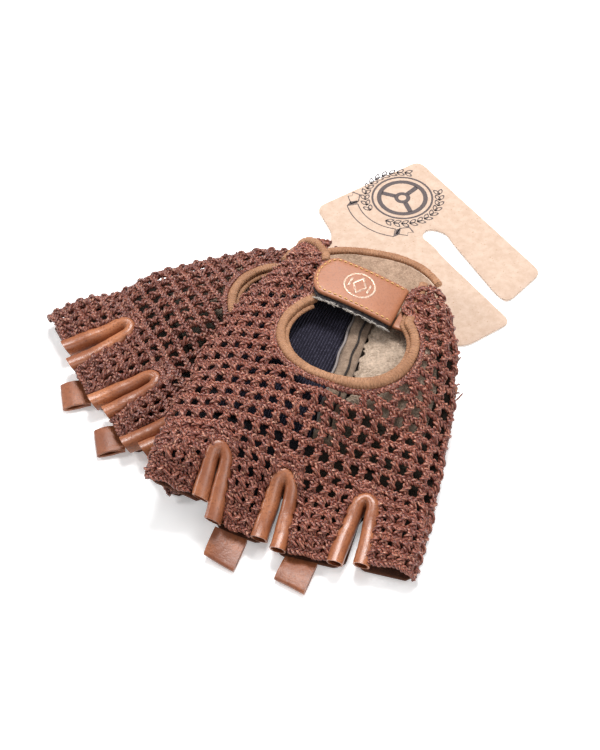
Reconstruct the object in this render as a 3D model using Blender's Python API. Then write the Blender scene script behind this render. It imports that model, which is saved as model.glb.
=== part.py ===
"""A pair of fingerless driving gloves, crochet backs and leather palms, resting on their kraft hang card."""

import math

import bmesh
import bpy
import numpy as np
from mathutils import Vector
from mathutils.geometry import delaunay_2d_cdt

MM = 0.001
CENTRE = (-1.657, 7.230, 0.0)

# ---- driving dimensions, millimetres -------------------------------------------------------------
# Across runs to the index finger, along runs from the wrist to the fingertips, up is off the palm.
RIGHT_ORIGIN = (29.5, 49.2)
RIGHT_HEADING = -106.0
LEFT_ORIGIN = (50.0, 42.8)
LEFT_HEADING = 206.5
LEFT_WRIST_SQUASH = 0.84

PALM_THICK = 1.2
BACK_THICK = 1.6
PALM_TO_BACK = 0.5
GAP = 0.35
LEFT_LOBE_START = 9.5
RIGHT_LOBE_START = 20.5
HALF_WIDTH_ALONG = (7.0, 15.0, 22.0, 30.0, 40.0, 54.0, 72.0, 92.0, 115.0, 142.0)
HALF_WIDTH = (27.0, 29.5, 32.0, 35.0, 39.0, 43.0, 45.5, 47.0, 48.5, 48.5)
HEIGHT_ALONG = (8.0, 30.0, 50.0, 75.0, 100.0, 118.0, 142.0)
HEIGHT = (10.5, 10.8, 11.5, 13.0, 13.0, 12.0, 10.0)
ARCH_POWER = 2.6

# little, ring, middle, index: crochet centre, half width, end of the finger
FINGER_CENTRE = (-39.6, -14.0, 11.7, 40.0)
FINGER_HALF = (8.6, 6.0, 8.6, 8.5)
FINGER_END = (132.0, 137.0, 139.5, 138.0)
CROTCH_ACROSS = (-25.6, -2.5, 26.0)
CROTCH_ALONG = (114.0, 113.5, 111.5)
FINGER_EDGE_UP = 6.2
ROLL_WIDTH = 4.0
FOLD = 5.1
BEND = 2.6
SPLIT_LENGTH = 9.0

KEYHOLE_CENTRE = (3.6, 57.5)
KEYHOLE_RADII = (24.0, 21.5)
SLIT_LEFT = -13.0
SLIT_RIGHT = 22.3

TAB_FREE = (-15.0, 33.0)
TAB_HINGE = (17.8, 37.2)
TAB_WIDTH = 19.0
TAB_THICK = 1.8
TAPE_THICK = 1.1

LOOP_WIDTH = 11.5
LOOP_LENGTH = 12.5
LEFT_LOOP_LENGTH = 9.5
LOOP_SHIFT = -2.2
LOOP_THICK = 2.4

THUMB_CENTRE = (29.0, 76.0)
THUMB_SIZE = (31.0, 42.0)
THUMB_THICK = 2.8
THUMB_GAP = 0.9

RAMP_FROM = -85.0
RAMP_TO = -42.0
OVER_LEFT = 16.6

CARD_THICK = 0.6

BROWN = (0.165, 0.052, 0.040, 1.0)
TAN = (0.42, 0.19, 0.095, 1.0)
SUEDE = (0.40, 0.27, 0.20, 1.0)
NAVY = (0.022, 0.020, 0.034, 1.0)
BLACK = (0.010, 0.008, 0.010, 1.0)
KRAFT = (0.66, 0.50, 0.36, 1.0)


# ---- scene and materials -------------------------------------------------------------------------
def clear_scene():
    for item in list(bpy.data.objects):
        bpy.data.objects.remove(item, do_unlink=True)


def material(name, colour, roughness):
    made = bpy.data.materials.new(name)
    made.use_nodes = True
    shader = made.node_tree.nodes["Principled BSDF"]
    shader.inputs["Base Color"].default_value = colour
    shader.inputs["Roughness"].default_value = roughness
    made.diffuse_color = colour
    return made


def add_solid(name, vertices, faces, colour, roughness):
    """Make one closed body; vertices are millimetres, the origin goes to the middle of its box."""
    points = (np.array(vertices, float) - np.array(CENTRE)) * MM
    middle = (points.min(0) + points.max(0)) / 2
    mesh = bpy.data.meshes.new(name)
    mesh.from_pydata([tuple(p) for p in points - middle], [], faces)
    work = bmesh.new()
    work.from_mesh(mesh)
    bmesh.ops.triangulate(work, faces=work.faces)
    bmesh.ops.recalc_face_normals(work, faces=work.faces)
    if work.calc_volume(signed=True) < 0:
        bmesh.ops.reverse_faces(work, faces=work.faces)
    for face in work.faces:
        face.smooth = True
    work.to_mesh(mesh)
    work.free()
    item = bpy.data.objects.new(name, mesh)
    item.location = Vector(middle)
    item.data.materials.append(material(name, colour, roughness))
    bpy.context.scene.collection.objects.link(item)
    return item


# ---- where each glove lies -----------------------------------------------------------------------
def smooth(value):
    value = np.clip(value, 0.0, 1.0)
    return value * value * (3.0 - 2.0 * value)


def frame_of(side):
    """Origin, across direction and along direction of one glove on the table."""
    origin = RIGHT_ORIGIN if side == "right" else LEFT_ORIGIN
    angle = math.radians(RIGHT_HEADING if side == "right" else LEFT_HEADING)
    along = np.array((math.cos(angle), math.sin(angle)))
    turn = 1.0 if side == "right" else -1.0
    across = turn * np.array((-along[1], along[0]))
    return np.array(origin), across, along


def thumb_lift(across, along):
    """Rise of the palm over the thumb folded beneath it."""
    side = smooth((across - THUMB_CENTRE[0] + THUMB_SIZE[0] / 2 + 13.0) / 12.5)
    start = smooth((along - THUMB_CENTRE[1] + THUMB_SIZE[1] / 2 + 13.0) / 12.5)
    end = smooth((THUMB_CENTRE[1] + THUMB_SIZE[1] / 2 + 13.0 - along) / 12.5)
    return (THUMB_THICK + THUMB_GAP) * side * start * end


def ground(side, x, y):
    """Height of what lies under this glove: the card, or the other glove."""
    if side == "left":
        from_front = (x - 22.0) * 0.196 + (y - 22.0) * 0.981
        from_side = (x - 22.0) * 0.932 + (y - 22.0) * 0.363
        return (CARD_THICK + 0.3) * smooth((from_front + 18.0) / 8.0) * smooth((from_side + 18.0) / 8.0)
    origin, across, along = frame_of("left")
    sideways = (x - origin[0]) * across[0] + (y - origin[1]) * across[1]
    return OVER_LEFT * smooth((sideways - RAMP_FROM) / (RAMP_TO - RAMP_FROM))


def place(side, across, along, up):
    """World point, millimetres, of a place on one glove."""
    origin, right, forward = frame_of(side)
    x = origin[0] + across * right[0] + along * forward[0]
    y = origin[1] + across * right[1] + along * forward[1]
    under = ground(side, x, y)
    lift = thumb_lift(across, along)
    if side == "right":
        lift = lift * (1.0 - smooth(under / 5.0))
    return np.array((x, y, under + lift + up))


def place_flat(side, across, along, up):
    """World point for pieces lying below the palm, without the thumb's own rise."""
    origin, right, forward = frame_of(side)
    x = origin[0] + across * right[0] + along * forward[0]
    y = origin[1] + across * right[1] + along * forward[1]
    under = ground(side, x, y)
    if side == "right":
        spare = THUMB_THICK + THUMB_GAP
        under = under - spare * smooth(under / 5.0)
    return np.array((x, y, under + up))


# ---- the crochet back's surface ------------------------------------------------------------------
def section(centre, half, top, left_up, right_up):
    """Arch across the glove as points spaced by length along it."""
    angle = np.linspace(0.0, math.pi, 161)
    turn = -np.cos(angle)
    shape = np.sign(turn) * np.abs(turn) ** (2.0 / ARCH_POWER)
    rise = np.abs(np.sin(angle)) ** (2.0 / ARCH_POWER)
    base = left_up + (right_up - left_up) * (shape + 1.0) / 2.0
    across = centre + half * shape
    up = base + (top - base) * rise
    step = np.hypot(np.diff(across), np.diff(up))
    length = np.concatenate(((0.0,), np.cumsum(step)))
    return across, up, length


def read_section(arrays, share):
    across, up, length = arrays
    wanted = share * length[-1]
    return np.array((np.interp(wanted, length, across), np.interp(wanted, length, up)))


def height_at(side, along):
    top = np.interp(along, HEIGHT_ALONG, HEIGHT)
    if side == "left":
        top = top * (LEFT_WRIST_SQUASH + (1.0 - LEFT_WRIST_SQUASH) * smooth((along - 45.0) / 55.0))
    return top


def body_section(side, along):
    half = np.interp(along, HALF_WIDTH_ALONG, HALF_WIDTH)
    foot = PALM_THICK + PALM_TO_BACK + BACK_THICK / 2
    return section(0.0, half, height_at(side, along), foot, foot)


def finger_section(side, finger, along):
    foot = PALM_THICK + PALM_TO_BACK + BACK_THICK / 2
    left_up = foot if finger == 0 else FINGER_EDGE_UP
    right_up = foot if finger == 3 else FINGER_EDGE_UP
    top = height_at(side, along) - 0.6
    return section(FINGER_CENTRE[finger], FINGER_HALF[finger], top, left_up, right_up)


def share_of(side, across, along):
    """Share of the way round the body arch at which a place across sits."""
    arrays = body_section(side, along)
    return float(np.interp(np.interp(across, arrays[0], arrays[2]), (0.0, arrays[2][-1]), (0.0, 1.0)))


def crotch_shares(side):
    return [share_of(side, a, v) for a, v in zip(CROTCH_ACROSS, CROTCH_ALONG)]


def back_point(side, share, along, shares):
    """Middle of the crochet layer, glove coordinates, share 0 at the little side to 1 at the index side."""
    body = read_section(body_section(side, along), share)
    if along <= min(CROTCH_ALONG):
        return body
    limits = [0.0] + list(shares) + [1.0]
    finger = int(np.clip(np.searchsorted(limits, share) - 1, 0, 3))
    inside = (share - limits[finger]) / (limits[finger + 1] - limits[finger])
    starts = (CROTCH_ALONG[0],) + CROTCH_ALONG + (CROTCH_ALONG[2],)
    start = starts[finger] + (starts[finger + 1] - starts[finger]) * inside
    blend = smooth((along - start) / SPLIT_LENGTH)
    own = read_section(finger_section(side, finger, along), inside)
    return body * (1.0 - blend) + own * blend


# ---- solids from sheets and rolls ----------------------------------------------------------------
def inside_outline(point, outline):
    x, y = point
    inside = False
    for (x0, y0), (x1, y1) in zip(outline, outline[1:] + outline[:1]):
        if (y0 > y) != (y1 > y) and x < (x1 - x0) * (y - y0) / (y1 - y0) + x0:
            inside = not inside
    return inside


def edge_distance(point, outline):
    best = 1e9
    spot = np.array(point)
    for start, end in zip(outline, outline[1:] + outline[:1]):
        start = np.array(start)
        run = np.array(end) - start
        share = np.clip((spot - start) @ run / max(run @ run, 1e-9), 0.0, 1.0)
        best = min(best, float(np.hypot(*(spot - start - share * run))))
    return best


def fill_outline(outline, step):
    """Triangles over a closed outline with a grid of points inside it."""
    low = np.min(outline, axis=0)
    high = np.max(outline, axis=0)
    points = [Vector(p) for p in outline]
    for row, y in enumerate(np.arange(low[1] + step * 0.6, high[1], step)):
        for x in np.arange(low[0] + step * (0.3 + 0.5 * (row % 2)), high[0], step):
            if inside_outline((x, y), outline) and edge_distance((x, y), outline) > 0.45 * step:
                points.append(Vector((x, y)))
    edges = [(i, (i + 1) % len(outline)) for i in range(len(outline))]
    found = delaunay_2d_cdt(points, edges, [], 1, 1e-6)
    flat = [tuple(p) for p in found[0]]
    faces = []
    for face in found[2]:
        middle = np.mean([flat[i] for i in face], axis=0)
        if inside_outline(middle, outline):
            faces.append(tuple(face))
    return flat, faces


def sheet_solid(name, outline, step, lower, upper, colour, roughness):
    """Closed sheet between two surfaces given as functions of the outline's own coordinates."""
    flat, faces = fill_outline(outline, step)
    count = len(flat)
    vertices = [lower(*p) for p in flat] + [upper(*p) for p in flat]
    solid = [tuple(reversed(f)) for f in faces] + [tuple(i + count for i in f) for f in faces]
    seen = {}
    for face in faces:
        for a, b in zip(face, face[1:] + face[:1]):
            seen[(a, b)] = True
    for a, b in seen:
        if (b, a) not in seen:
            solid.append((a, b, b + count, a + count))
    return add_solid(name, vertices, solid, colour, roughness)


def roll_solid(name, side, path, widths, heights, sides, colour, roughness):
    """Oval roll along a path of (across, along, up) places; width is level, height is upright."""
    path = np.array(path)
    count = len(path)
    vertices = []
    for i in range(count):
        run = path[min(i + 1, count - 1)] - path[max(i - 1, 0)]
        level = np.array((run[1], -run[0])) / math.hypot(run[0], run[1])
        for k in range(sides):
            angle = 2 * math.pi * (k + 0.5) / sides
            out = math.cos(angle) * widths[i] / 2
            rise = math.sin(angle) * heights[i] / 2
            spot = path[i]
            vertices.append(place(side, spot[0] + level[0] * out, spot[1] + level[1] * out, spot[2] + rise))
    faces = []
    for i in range(count - 1):
        for k in range(sides):
            n = (k + 1) % sides
            faces.append((i * sides + k, i * sides + n, (i + 1) * sides + n, (i + 1) * sides + k))
    faces.append(tuple(reversed(range(sides))))
    faces.append(tuple(range((count - 1) * sides, count * sides)))
    return add_solid(name, vertices, faces, colour, roughness)


def resample(points, step):
    """Points evenly spaced along a polyline."""
    points = np.array(points, float)
    length = np.concatenate(((0.0,), np.cumsum(np.linalg.norm(np.diff(points, axis=0), axis=1))))
    count = max(int(round(length[-1] / step)), 2)
    wanted = np.linspace(0.0, length[-1], count + 1)
    return [tuple(np.interp(w, length, points[:, k]) for k in range(points.shape[1])) for w in wanted]


# ---- outlines in glove coordinates ---------------------------------------------------------------
def keyhole_edge(grow):
    """Open back from the left wrist lobe down round the keyhole and up to the right lobe."""
    cx, cy = KEYHOLE_CENTRE
    rx = KEYHOLE_RADII[0] + grow
    ry = KEYHOLE_RADII[1] + grow
    start = math.acos(np.clip((SLIT_LEFT - grow - cx) / rx, -1, 1))
    stop = math.acos(np.clip((SLIT_RIGHT + grow - cx) / rx, -1, 1))
    points = [(SLIT_LEFT - grow, LEFT_LOBE_START), (SLIT_LEFT - grow - 1.0, 25.0)]
    for angle in np.linspace(-start, -stop - 2 * math.pi, 26):
        points.append((cx + rx * math.cos(angle), cy + ry * math.sin(angle)))
    points += [(SLIT_RIGHT + grow + 1.0, 32.0), (SLIT_RIGHT + grow, RIGHT_LOBE_START)]
    return points


def palm_wrist(grow):
    """Wrist flap of the palm, little side to index side."""
    half = np.interp(22.0, HALF_WIDTH_ALONG, HALF_WIDTH) - 1.5
    curve = []
    for turn in np.linspace(-1.0, 1.0, 17):
        across = half * turn
        along = 5.0 + 17.0 * abs(turn) ** 2.8 - 1.5 * turn
        curve.append((across * (1 + grow / half), along - grow * (1 - abs(turn) ** 6)))
    return curve


def palm_outline():
    """Whole palm sheet: wrist flap, index side, four fingers, little side."""
    outline = list(palm_wrist(0.0))
    for along in (32.0, 42.0, 54.0, 66.0, 78.0, 90.0, 102.0, 114.0, 126.0):
        outline.append((np.interp(along, HALF_WIDTH_ALONG, HALF_WIDTH) + 0.3, along))
    for finger in (3, 2, 1, 0):
        low, high = palm_finger_sides(finger)
        end = FINGER_END[finger] - 1.5
        outline += [(high, end - 3.0), (high - 3.0, end), (low + 3.0, end), (low, end - 3.0)]
        if finger > 0:
            next_high = palm_finger_sides(finger - 1)[1]
            along = CROTCH_ALONG[finger - 1] + 2.5
            outline += [(low, along + 3.0), ((low + next_high) / 2, along), (next_high, along + 3.0)]
    for along in (118.0, 106.0, 94.0, 82.0, 70.0, 58.0, 46.0, 34.0):
        outline.append((-np.interp(along, HALF_WIDTH_ALONG, HALF_WIDTH) - 0.3, along))
    return outline


def palm_finger_sides(finger):
    low = -48.8 if finger == 0 else CROTCH_ACROSS[finger - 1] + 1.6
    high = 48.8 if finger == 3 else CROTCH_ACROSS[finger] - 1.6
    return low, high


def back_outline(side, shares):
    """Crochet layer in share-by-along coordinates, the share scaled by a hundred."""
    gap = 0.45
    outline = []
    edge = keyhole_edge(GAP + 1.8)
    for across, along in edge:
        outline.append((100 * share_of(side, across, along), along))
    start = RIGHT_LOBE_START
    outline += [(86.0, start - 1.0), (93.0, start + 1.5), (98.0, start + 5.0), (100.0, start + 9.0)]
    for along in (40.0, 54.0, 68.0, 82.0, 96.0, 110.0, 122.0, 131.0):
        outline.append((100.0, along))
    limits = [0.0] + [100 * s for s in shares] + [100.0]
    for finger in (3, 2, 1, 0):
        low = limits[finger] + (gap if finger > 0 else 0.0)
        high = limits[finger + 1] - (gap if finger < 3 else 0.0)
        for share in np.linspace(high, low, 5):
            outline.append((share, FINGER_END[finger]))
        if finger > 0:
            along = CROTCH_ALONG[finger - 1]
            end = min(FINGER_END[finger], FINGER_END[finger - 1])
            for step in (0.75, 0.5, 0.25):
                outline.append((low, along + (end - along) * step))
            outline.append((limits[finger], along))
            for step in (0.25, 0.5, 0.75):
                outline.append((low - 2 * gap, along + (end - along) * step))
    for along in (122.0, 112.0, 100.0, 88.0, 76.0, 62.0, 48.0, 36.0, 26.0):
        outline.append((0.0, along))
    start = LEFT_LOBE_START
    outline += [(2.5, start + 9.0), (8.0, start + 3.0), (15.0, start - 1.0), (24.0, start - 2.5)]
    return outline


# ---- pieces of one glove -------------------------------------------------------------------------
def palm_panel(side):
    def lower(across, along):
        return place(side, across, along, 0.0)

    def upper(across, along):
        return place(side, across, along, PALM_THICK)

    return sheet_solid(f"{side}_palm_panel", palm_outline(), 6.2, lower, upper, TAN, 0.45)


def back_offset(side, share, along, shares, offset):
    """Point off the middle of the crochet layer, along the arch's own normal."""
    here = back_point(side, share, along, shares)
    before = back_point(side, max(share - 0.004, 0.0), along, shares)
    after = back_point(side, min(share + 0.004, 1.0), along, shares)
    limits = [0.0] + list(shares) + [1.0]
    for limit in limits[1:-1]:
        if abs(share - limit) < 0.0085 and along > min(CROTCH_ALONG):
            before = here if share > limit else before
            after = here if share < limit else after
    run = after - before
    size = math.hypot(run[0], run[1])
    normal = np.array((-run[1], run[0])) / max(size, 1e-6)
    spot = here + normal * offset
    spot[1] = max(spot[1], PALM_THICK + PALM_TO_BACK)
    return place(side, spot[0], along, spot[1])


def crochet_back(side):
    shares = crotch_shares(side)

    def lower(share, along):
        return back_offset(side, share / 100, along, shares, -BACK_THICK / 2)

    def upper(share, along):
        return back_offset(side, share / 100, along, shares, BACK_THICK / 2)

    return sheet_solid(f"{side}_crochet_back", back_outline(side, shares), 6.5, lower, upper, BROWN, 0.9)


def fourchette(side, crotch, label):
    """Puffed leather strip lining the gap between two fingers, folded round the crotch."""
    left_edge = FINGER_CENTRE[crotch] + FINGER_HALF[crotch] + BACK_THICK / 2
    right_edge = FINGER_CENTRE[crotch + 1] - FINGER_HALF[crotch + 1] - BACK_THICK / 2
    along = CROTCH_ALONG[crotch]
    ends = (FINGER_END[crotch], FINGER_END[crotch + 1])
    middle = (left_edge + right_edge) / 2
    reach = (right_edge - left_edge) / 2 - GAP - ROLL_WIDTH / 2
    path = []
    for step in np.linspace(0.0, 1.0, 7):
        path.append((middle - reach, ends[0] - 0.6 + (along + FOLD - ends[0]) * step))
    for angle in np.linspace(0.0, math.pi, 7)[1:-1]:
        path.append((middle - reach * math.cos(angle), along + FOLD - 0.6 - BEND * math.sin(angle)))
    for step in np.linspace(1.0, 0.0, 7):
        path.append((middle + reach, ends[1] - 0.6 + (along + FOLD - ends[1]) * step))
    points = []
    widths = []
    heights = []
    for across, where in path:
        top = 7.6 - 0.8 * smooth((where - along - 8.0) / 16.0)
        bottom = PALM_THICK + 0.95
        points.append((across, where, (top + bottom) / 2))
        widths.append(ROLL_WIDTH - 0.9 * smooth((where - along - 14.0) / 12.0))
        heights.append(top - bottom)
    return roll_solid(f"{side}_fourchette_{label}", side, points, widths, heights, 8, TAN, 0.35)


def thumb_stall(side):
    """Flattened leather sleeve of the thumb, open at both ends, folded under the palm."""
    cx, cy = THUMB_CENTRE
    rings = 5
    sides = 16
    vertices = []
    for shell, wall in ((0, 0.0), (1, 1.0)):
        for i in range(rings):
            along = cy - THUMB_SIZE[1] / 2 + THUMB_SIZE[1] * i / (rings - 1)
            half = THUMB_SIZE[0] / 2 - 1.5 * i / (rings - 1) - wall * 1.4
            tall = THUMB_THICK / 2 - wall
            for k in range(sides):
                angle = 2 * math.pi * (k + 0.5) / sides
                turn = math.cos(angle)
                shape = math.copysign(abs(turn) ** 0.55, turn)
                rise = math.copysign(abs(math.sin(angle)) ** 0.35, math.sin(angle))
                top = math.sin(math.pi * 7 / 16) ** 0.35
                up = THUMB_THICK / 2 + tall * min(rise / top, 1.0) if rise > 0 else \
                    THUMB_THICK / 2 + tall * max(rise / top, -1.0)
                vertices.append(place_flat(side, cx + half * shape, along, up))
    faces = []
    inner = rings * sides
    for i in range(rings - 1):
        for k in range(sides):
            n = (k + 1) % sides
            a, b, c, d = i * sides + k, i * sides + n, (i + 1) * sides + n, (i + 1) * sides + k
            faces.append((a, b, c, d))
            faces.append((inner + d, inner + c, inner + b, inner + a))
    for i in (0, rings - 1):
        for k in range(sides):
            n = (k + 1) % sides
            a, b = i * sides + k, i * sides + n
            faces.append((a, b, inner + b, inner + a))
    return add_solid(f"{side}_thumb_stall", vertices, faces, TAN, 0.45)


def wrist_binding(side):
    """Narrow leather binding round the edge of the palm's wrist flap."""
    path = resample(palm_wrist(GAP + 1.3), 4.5)[1:-1]
    points = [(a, v, PALM_THICK / 2 + 0.35) for a, v in path]
    count = len(points)
    return roll_solid(f"{side}_wrist_binding", side, points, [2.6] * count, [1.9] * count, 8, TAN, 0.4)


def top_of_back(side, across, along):
    arrays = body_section(side, along)
    return float(np.interp(across, arrays[0], arrays[1]))


def keyhole_binding(side):
    """Leather binding along the wrist lobes, down the slit and round the keyhole."""
    path = resample(keyhole_edge(0.0), 4.2)
    points = [(a, v, top_of_back(side, a, v) - 0.1) for a, v in path]
    count = len(points)
    return roll_solid(f"{side}_keyhole_binding", side, points, [3.2] * count, [2.6] * count, 8, TAN, 0.4)


def tab_line(side, share):
    """Across, along and up of the strap's centre line; share 0 at the free end, 1 at the hinge."""
    across = TAB_FREE[0] + (TAB_HINGE[0] - TAB_FREE[0]) * share
    along = TAB_FREE[1] + (TAB_HINGE[1] - TAB_FREE[1]) * share
    high = top_of_back(side, TAB_FREE[0], TAB_FREE[1]) + BACK_THICK / 2 + 2 * TAPE_THICK + 4 * GAP + 0.2
    low = top_of_back(side, TAB_HINGE[0], TAB_HINGE[1]) - BACK_THICK / 2 - 0.6
    return across, along, high + (low - high) * share ** 1.8


def strap_outline(free_round, hinge_end, half):
    """Strap plan in share-of-length millimetres by sideways millimetres."""
    length = math.hypot(TAB_HINGE[0] - TAB_FREE[0], TAB_HINGE[1] - TAB_FREE[1])
    outline = []
    for angle in np.linspace(math.pi / 2, math.pi * 1.5, 9):
        outline.append((free_round * (1 + math.cos(angle)), half * math.sin(angle)))
    outline += [(length * 0.5, -half), (length - hinge_end, -half)]
    outline += [(length - hinge_end, half), (length * 0.5, half)]
    return outline, length


def strap_place(side, length, s, t, up):
    run = np.array((TAB_HINGE[0] - TAB_FREE[0], TAB_HINGE[1] - TAB_FREE[1])) / length
    across, along, middle = tab_line(side, np.clip(s / length, 0.0, 1.3))
    origin, right, forward = frame_of(side)
    across = TAB_FREE[0] + run[0] * s - run[1] * t
    along = TAB_FREE[1] + run[1] * s + run[0] * t
    centre = place(side, TAB_FREE[0] + run[0] * s, TAB_FREE[1] + run[1] * s, 0.0)[2]
    x = origin[0] + across * right[0] + along * forward[0]
    y = origin[1] + across * right[1] + along * forward[1]
    return np.array((x, y, centre + middle + up))


def wrist_tab(side):
    outline, length = strap_outline(6.5, 0.0, TAB_WIDTH / 2)

    def lower(s, t):
        return strap_place(side, length, s, t, 0.0)

    def upper(s, t):
        return strap_place(side, length, s, t, TAB_THICK)

    return sheet_solid(f"{side}_wrist_tab", outline, 7.0, lower, upper, TAN, 0.35)


def tab_hook_patch(side):
    outline, length = strap_outline(6.0, 3.0, TAB_WIDTH / 2 - 0.4)
    moved = [(s + 0.8 if s < length * 0.3 else s, t) for s, t in outline]

    def lower(s, t):
        return strap_place(side, length, s, t, -GAP - TAPE_THICK)

    def upper(s, t):
        return strap_place(side, length, s, t, -GAP)

    return sheet_solid(f"{side}_tab_hook_patch", moved, 7.0, lower, upper, BLACK, 0.95)


def tab_anchor(side):
    """Sewn end of the strap, under the crochet of the index-side lobe."""
    outline = [(0.6, -8.6), (10.0, -8.6), (10.0, 8.6), (0.6, 8.6)]
    length = math.hypot(TAB_HINGE[0] - TAB_FREE[0], TAB_HINGE[1] - TAB_FREE[1])
    run = np.array((TAB_HINGE[0] - TAB_FREE[0], TAB_HINGE[1] - TAB_FREE[1])) / length

    def at(s, t, up):
        across = TAB_HINGE[0] + run[0] * s - run[1] * t
        along = TAB_HINGE[1] + run[1] * s + run[0] * t
        height = top_of_back(side, across, along) - BACK_THICK / 2 - 1.0
        return place(side, across, along, height + up)

    def lower(s, t):
        return at(s, t, -1.2)

    def upper(s, t):
        return at(s, t, 0.0)

    return sheet_solid(f"{side}_tab_anchor", outline, 7.0, lower, upper, TAN, 0.45)


def loop_strip(side):
    """Fuzzy closing tape sewn on the little-side lobe, under the strap's free end."""
    outline = [(-24.5, 24.5), (-15.8, 23.8), (-15.8, 41.5), (-24.5, 42.0)]

    def lower(across, along):
        return place(side, across, along, top_of_back(side, across, along) + BACK_THICK / 2 + GAP)

    def upper(across, along):
        return place(side, across, along, top_of_back(side, across, along) + BACK_THICK / 2 + GAP + TAPE_THICK)

    return sheet_solid(f"{side}_loop_strip", outline, 7.0, lower, upper, BLACK, 0.95)


def inner_pad(side, name, outline, rise, thick, colour, roughness):
    low = np.min(outline, axis=0)
    high = np.max(outline, axis=0)

    def middle(across, along):
        u = (across - low[0]) / (high[0] - low[0])
        v = (along - low[1]) / (high[1] - low[1])
        return rise * math.sin(math.pi * np.clip(u, 0, 1)) * math.sin(math.pi * np.clip(v, 0, 1))

    def lower(across, along):
        return place(side, across, along, PALM_THICK + 2 * GAP + middle(across, along))

    def upper(across, along):
        return place(side, across, along, PALM_THICK + 2 * GAP + middle(across, along) + thick)

    edge = resample(list(outline) + [outline[0]], 7.0)[:-1]
    return sheet_solid(f"{side}_{name}", edge, 7.0, lower, upper, colour, roughness)


def pull_loop(side, finger, label):
    """Folded leather strip at a fingertip, pulled to take the glove off; hinged at its sewn end."""
    low, high = palm_finger_sides(finger)
    centre = (low + high) / 2 + LOOP_SHIFT
    start = FINGER_END[finger] + 0.4
    half = LOOP_WIDTH / 2
    long = LOOP_LENGTH if side == "right" else LEFT_LOOP_LENGTH
    rows = ((0.0, 1.5, 0.5), (1.2, 2.1, 0.2), (0.4 * long, LOOP_THICK, 0.0),
            (0.85 * long, LOOP_THICK + 0.3, 0.0), (long - 0.7, LOOP_THICK, 0.2), (long, 1.5, 0.7))
    vertices = []
    for run, thick, lift in rows:
        for across in (-half, 0.0, half):
            slant = -0.09 * run
            vertices.append(place(side, centre + across + slant, start + run, lift))
            vertices.append(place(side, centre + across + slant, start + run, lift + thick))
    count = len(rows)
    faces = []
    for i in range(count - 1):
        for k in range(2):
            a = i * 6 + k * 2
            faces.append((a, a + 2, a + 8, a + 6))
            faces.append((a + 1, a + 7, a + 9, a + 3))
        faces.append((i * 6, i * 6 + 6, i * 6 + 7, i * 6 + 1))
        faces.append((i * 6 + 4, i * 6 + 5, i * 6 + 11, i * 6 + 10))
    last = (count - 1) * 6
    faces.append((0, 1, 3, 2))
    faces.append((2, 3, 5, 4))
    faces.append((last, last + 2, last + 3, last + 1))
    faces.append((last + 2, last + 4, last + 5, last + 3))
    return add_solid(f"{side}_pull_loop_{label}", vertices, faces, TAN, 0.4)


# ---- the hang card -------------------------------------------------------------------------------
def rounded(points, radius, steps):
    """Round the corners of a closed outline."""
    made = []
    count = len(points)
    for i, spot in enumerate(points):
        here = np.array(spot, float)
        before = np.array(points[i - 1], float) - here
        after = np.array(points[(i + 1) % count], float) - here
        cut = min(radius, 0.45 * np.linalg.norm(before), 0.45 * np.linalg.norm(after))
        start = here + before / np.linalg.norm(before) * cut
        end = here + after / np.linalg.norm(after) * cut
        for step in range(steps + 1):
            t = step / steps
            made.append(tuple((1 - t) ** 2 * start + 2 * t * (1 - t) * here + t ** 2 * end))
    return made


def hang_card():
    corners = [(48.5, 117.0), (93.5, 53.0), (79.5, 37.0), (75.6, 40.5), (60.0, 69.0), (57.5, 75.0),
               (50.5, 77.5), (47.5, 73.0), (52.0, 68.0), (56.0, 61.0), (80.0, 26.5), (62.0, 14.0),
               (22.0, 22.0), (8.0, 58.0), (13.0, 74.0), (6.5, 89.5)]
    outline = rounded(corners, 4.0, 3)

    def lower(x, y):
        return np.array((x, y, 0.0))

    def upper(x, y):
        return np.array((x, y, CARD_THICK))

    return sheet_solid("hang_card", outline, 25.0, lower, upper, KRAFT, 0.85)


# ---- assemble ------------------------------------------------------------------------------------
def glove(side):
    palm_panel(side)
    crochet_back(side)
    for crotch, label in enumerate(("little_ring", "ring_middle", "middle_index")):
        fourchette(side, crotch, label)
    thumb_stall(side)
    wrist_binding(side)
    keyhole_binding(side)
    wrist_tab(side)
    tab_hook_patch(side)
    tab_anchor(side)
    loop_strip(side)
    lining = [(-33.0, 36.0), (0.5, 34.0), (0.5, 97.0), (-36.0, 97.0)]
    seam = [(1.6, 33.0), (8.4, 33.0), (8.4, 96.0), (1.6, 96.0)]
    suede = [(9.6, 41.0), (33.0, 43.0), (38.0, 62.0), (38.0, 97.0), (9.6, 97.0)]
    inner_pad(side, "lining_patch", lining, 1.4, 1.0, NAVY, 0.95)
    inner_pad(side, "seam_strip", seam, 1.4, 1.6, SUEDE, 0.6)
    inner_pad(side, "suede_patch", suede, 1.4, 1.2, SUEDE, 0.95)
    pull_loop(side, 1, "ring")
    pull_loop(side, 2, "middle")


def main():
    clear_scene()
    glove("left")
    glove("right")
    hang_card()


main()
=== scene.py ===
"""Fingerless driving gloves with crochet backs and leather palms, lying on their kraft hang card."""

import math

import bmesh
import bpy
import numpy as np
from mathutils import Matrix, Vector
from mathutils.geometry import delaunay_2d_cdt


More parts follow.
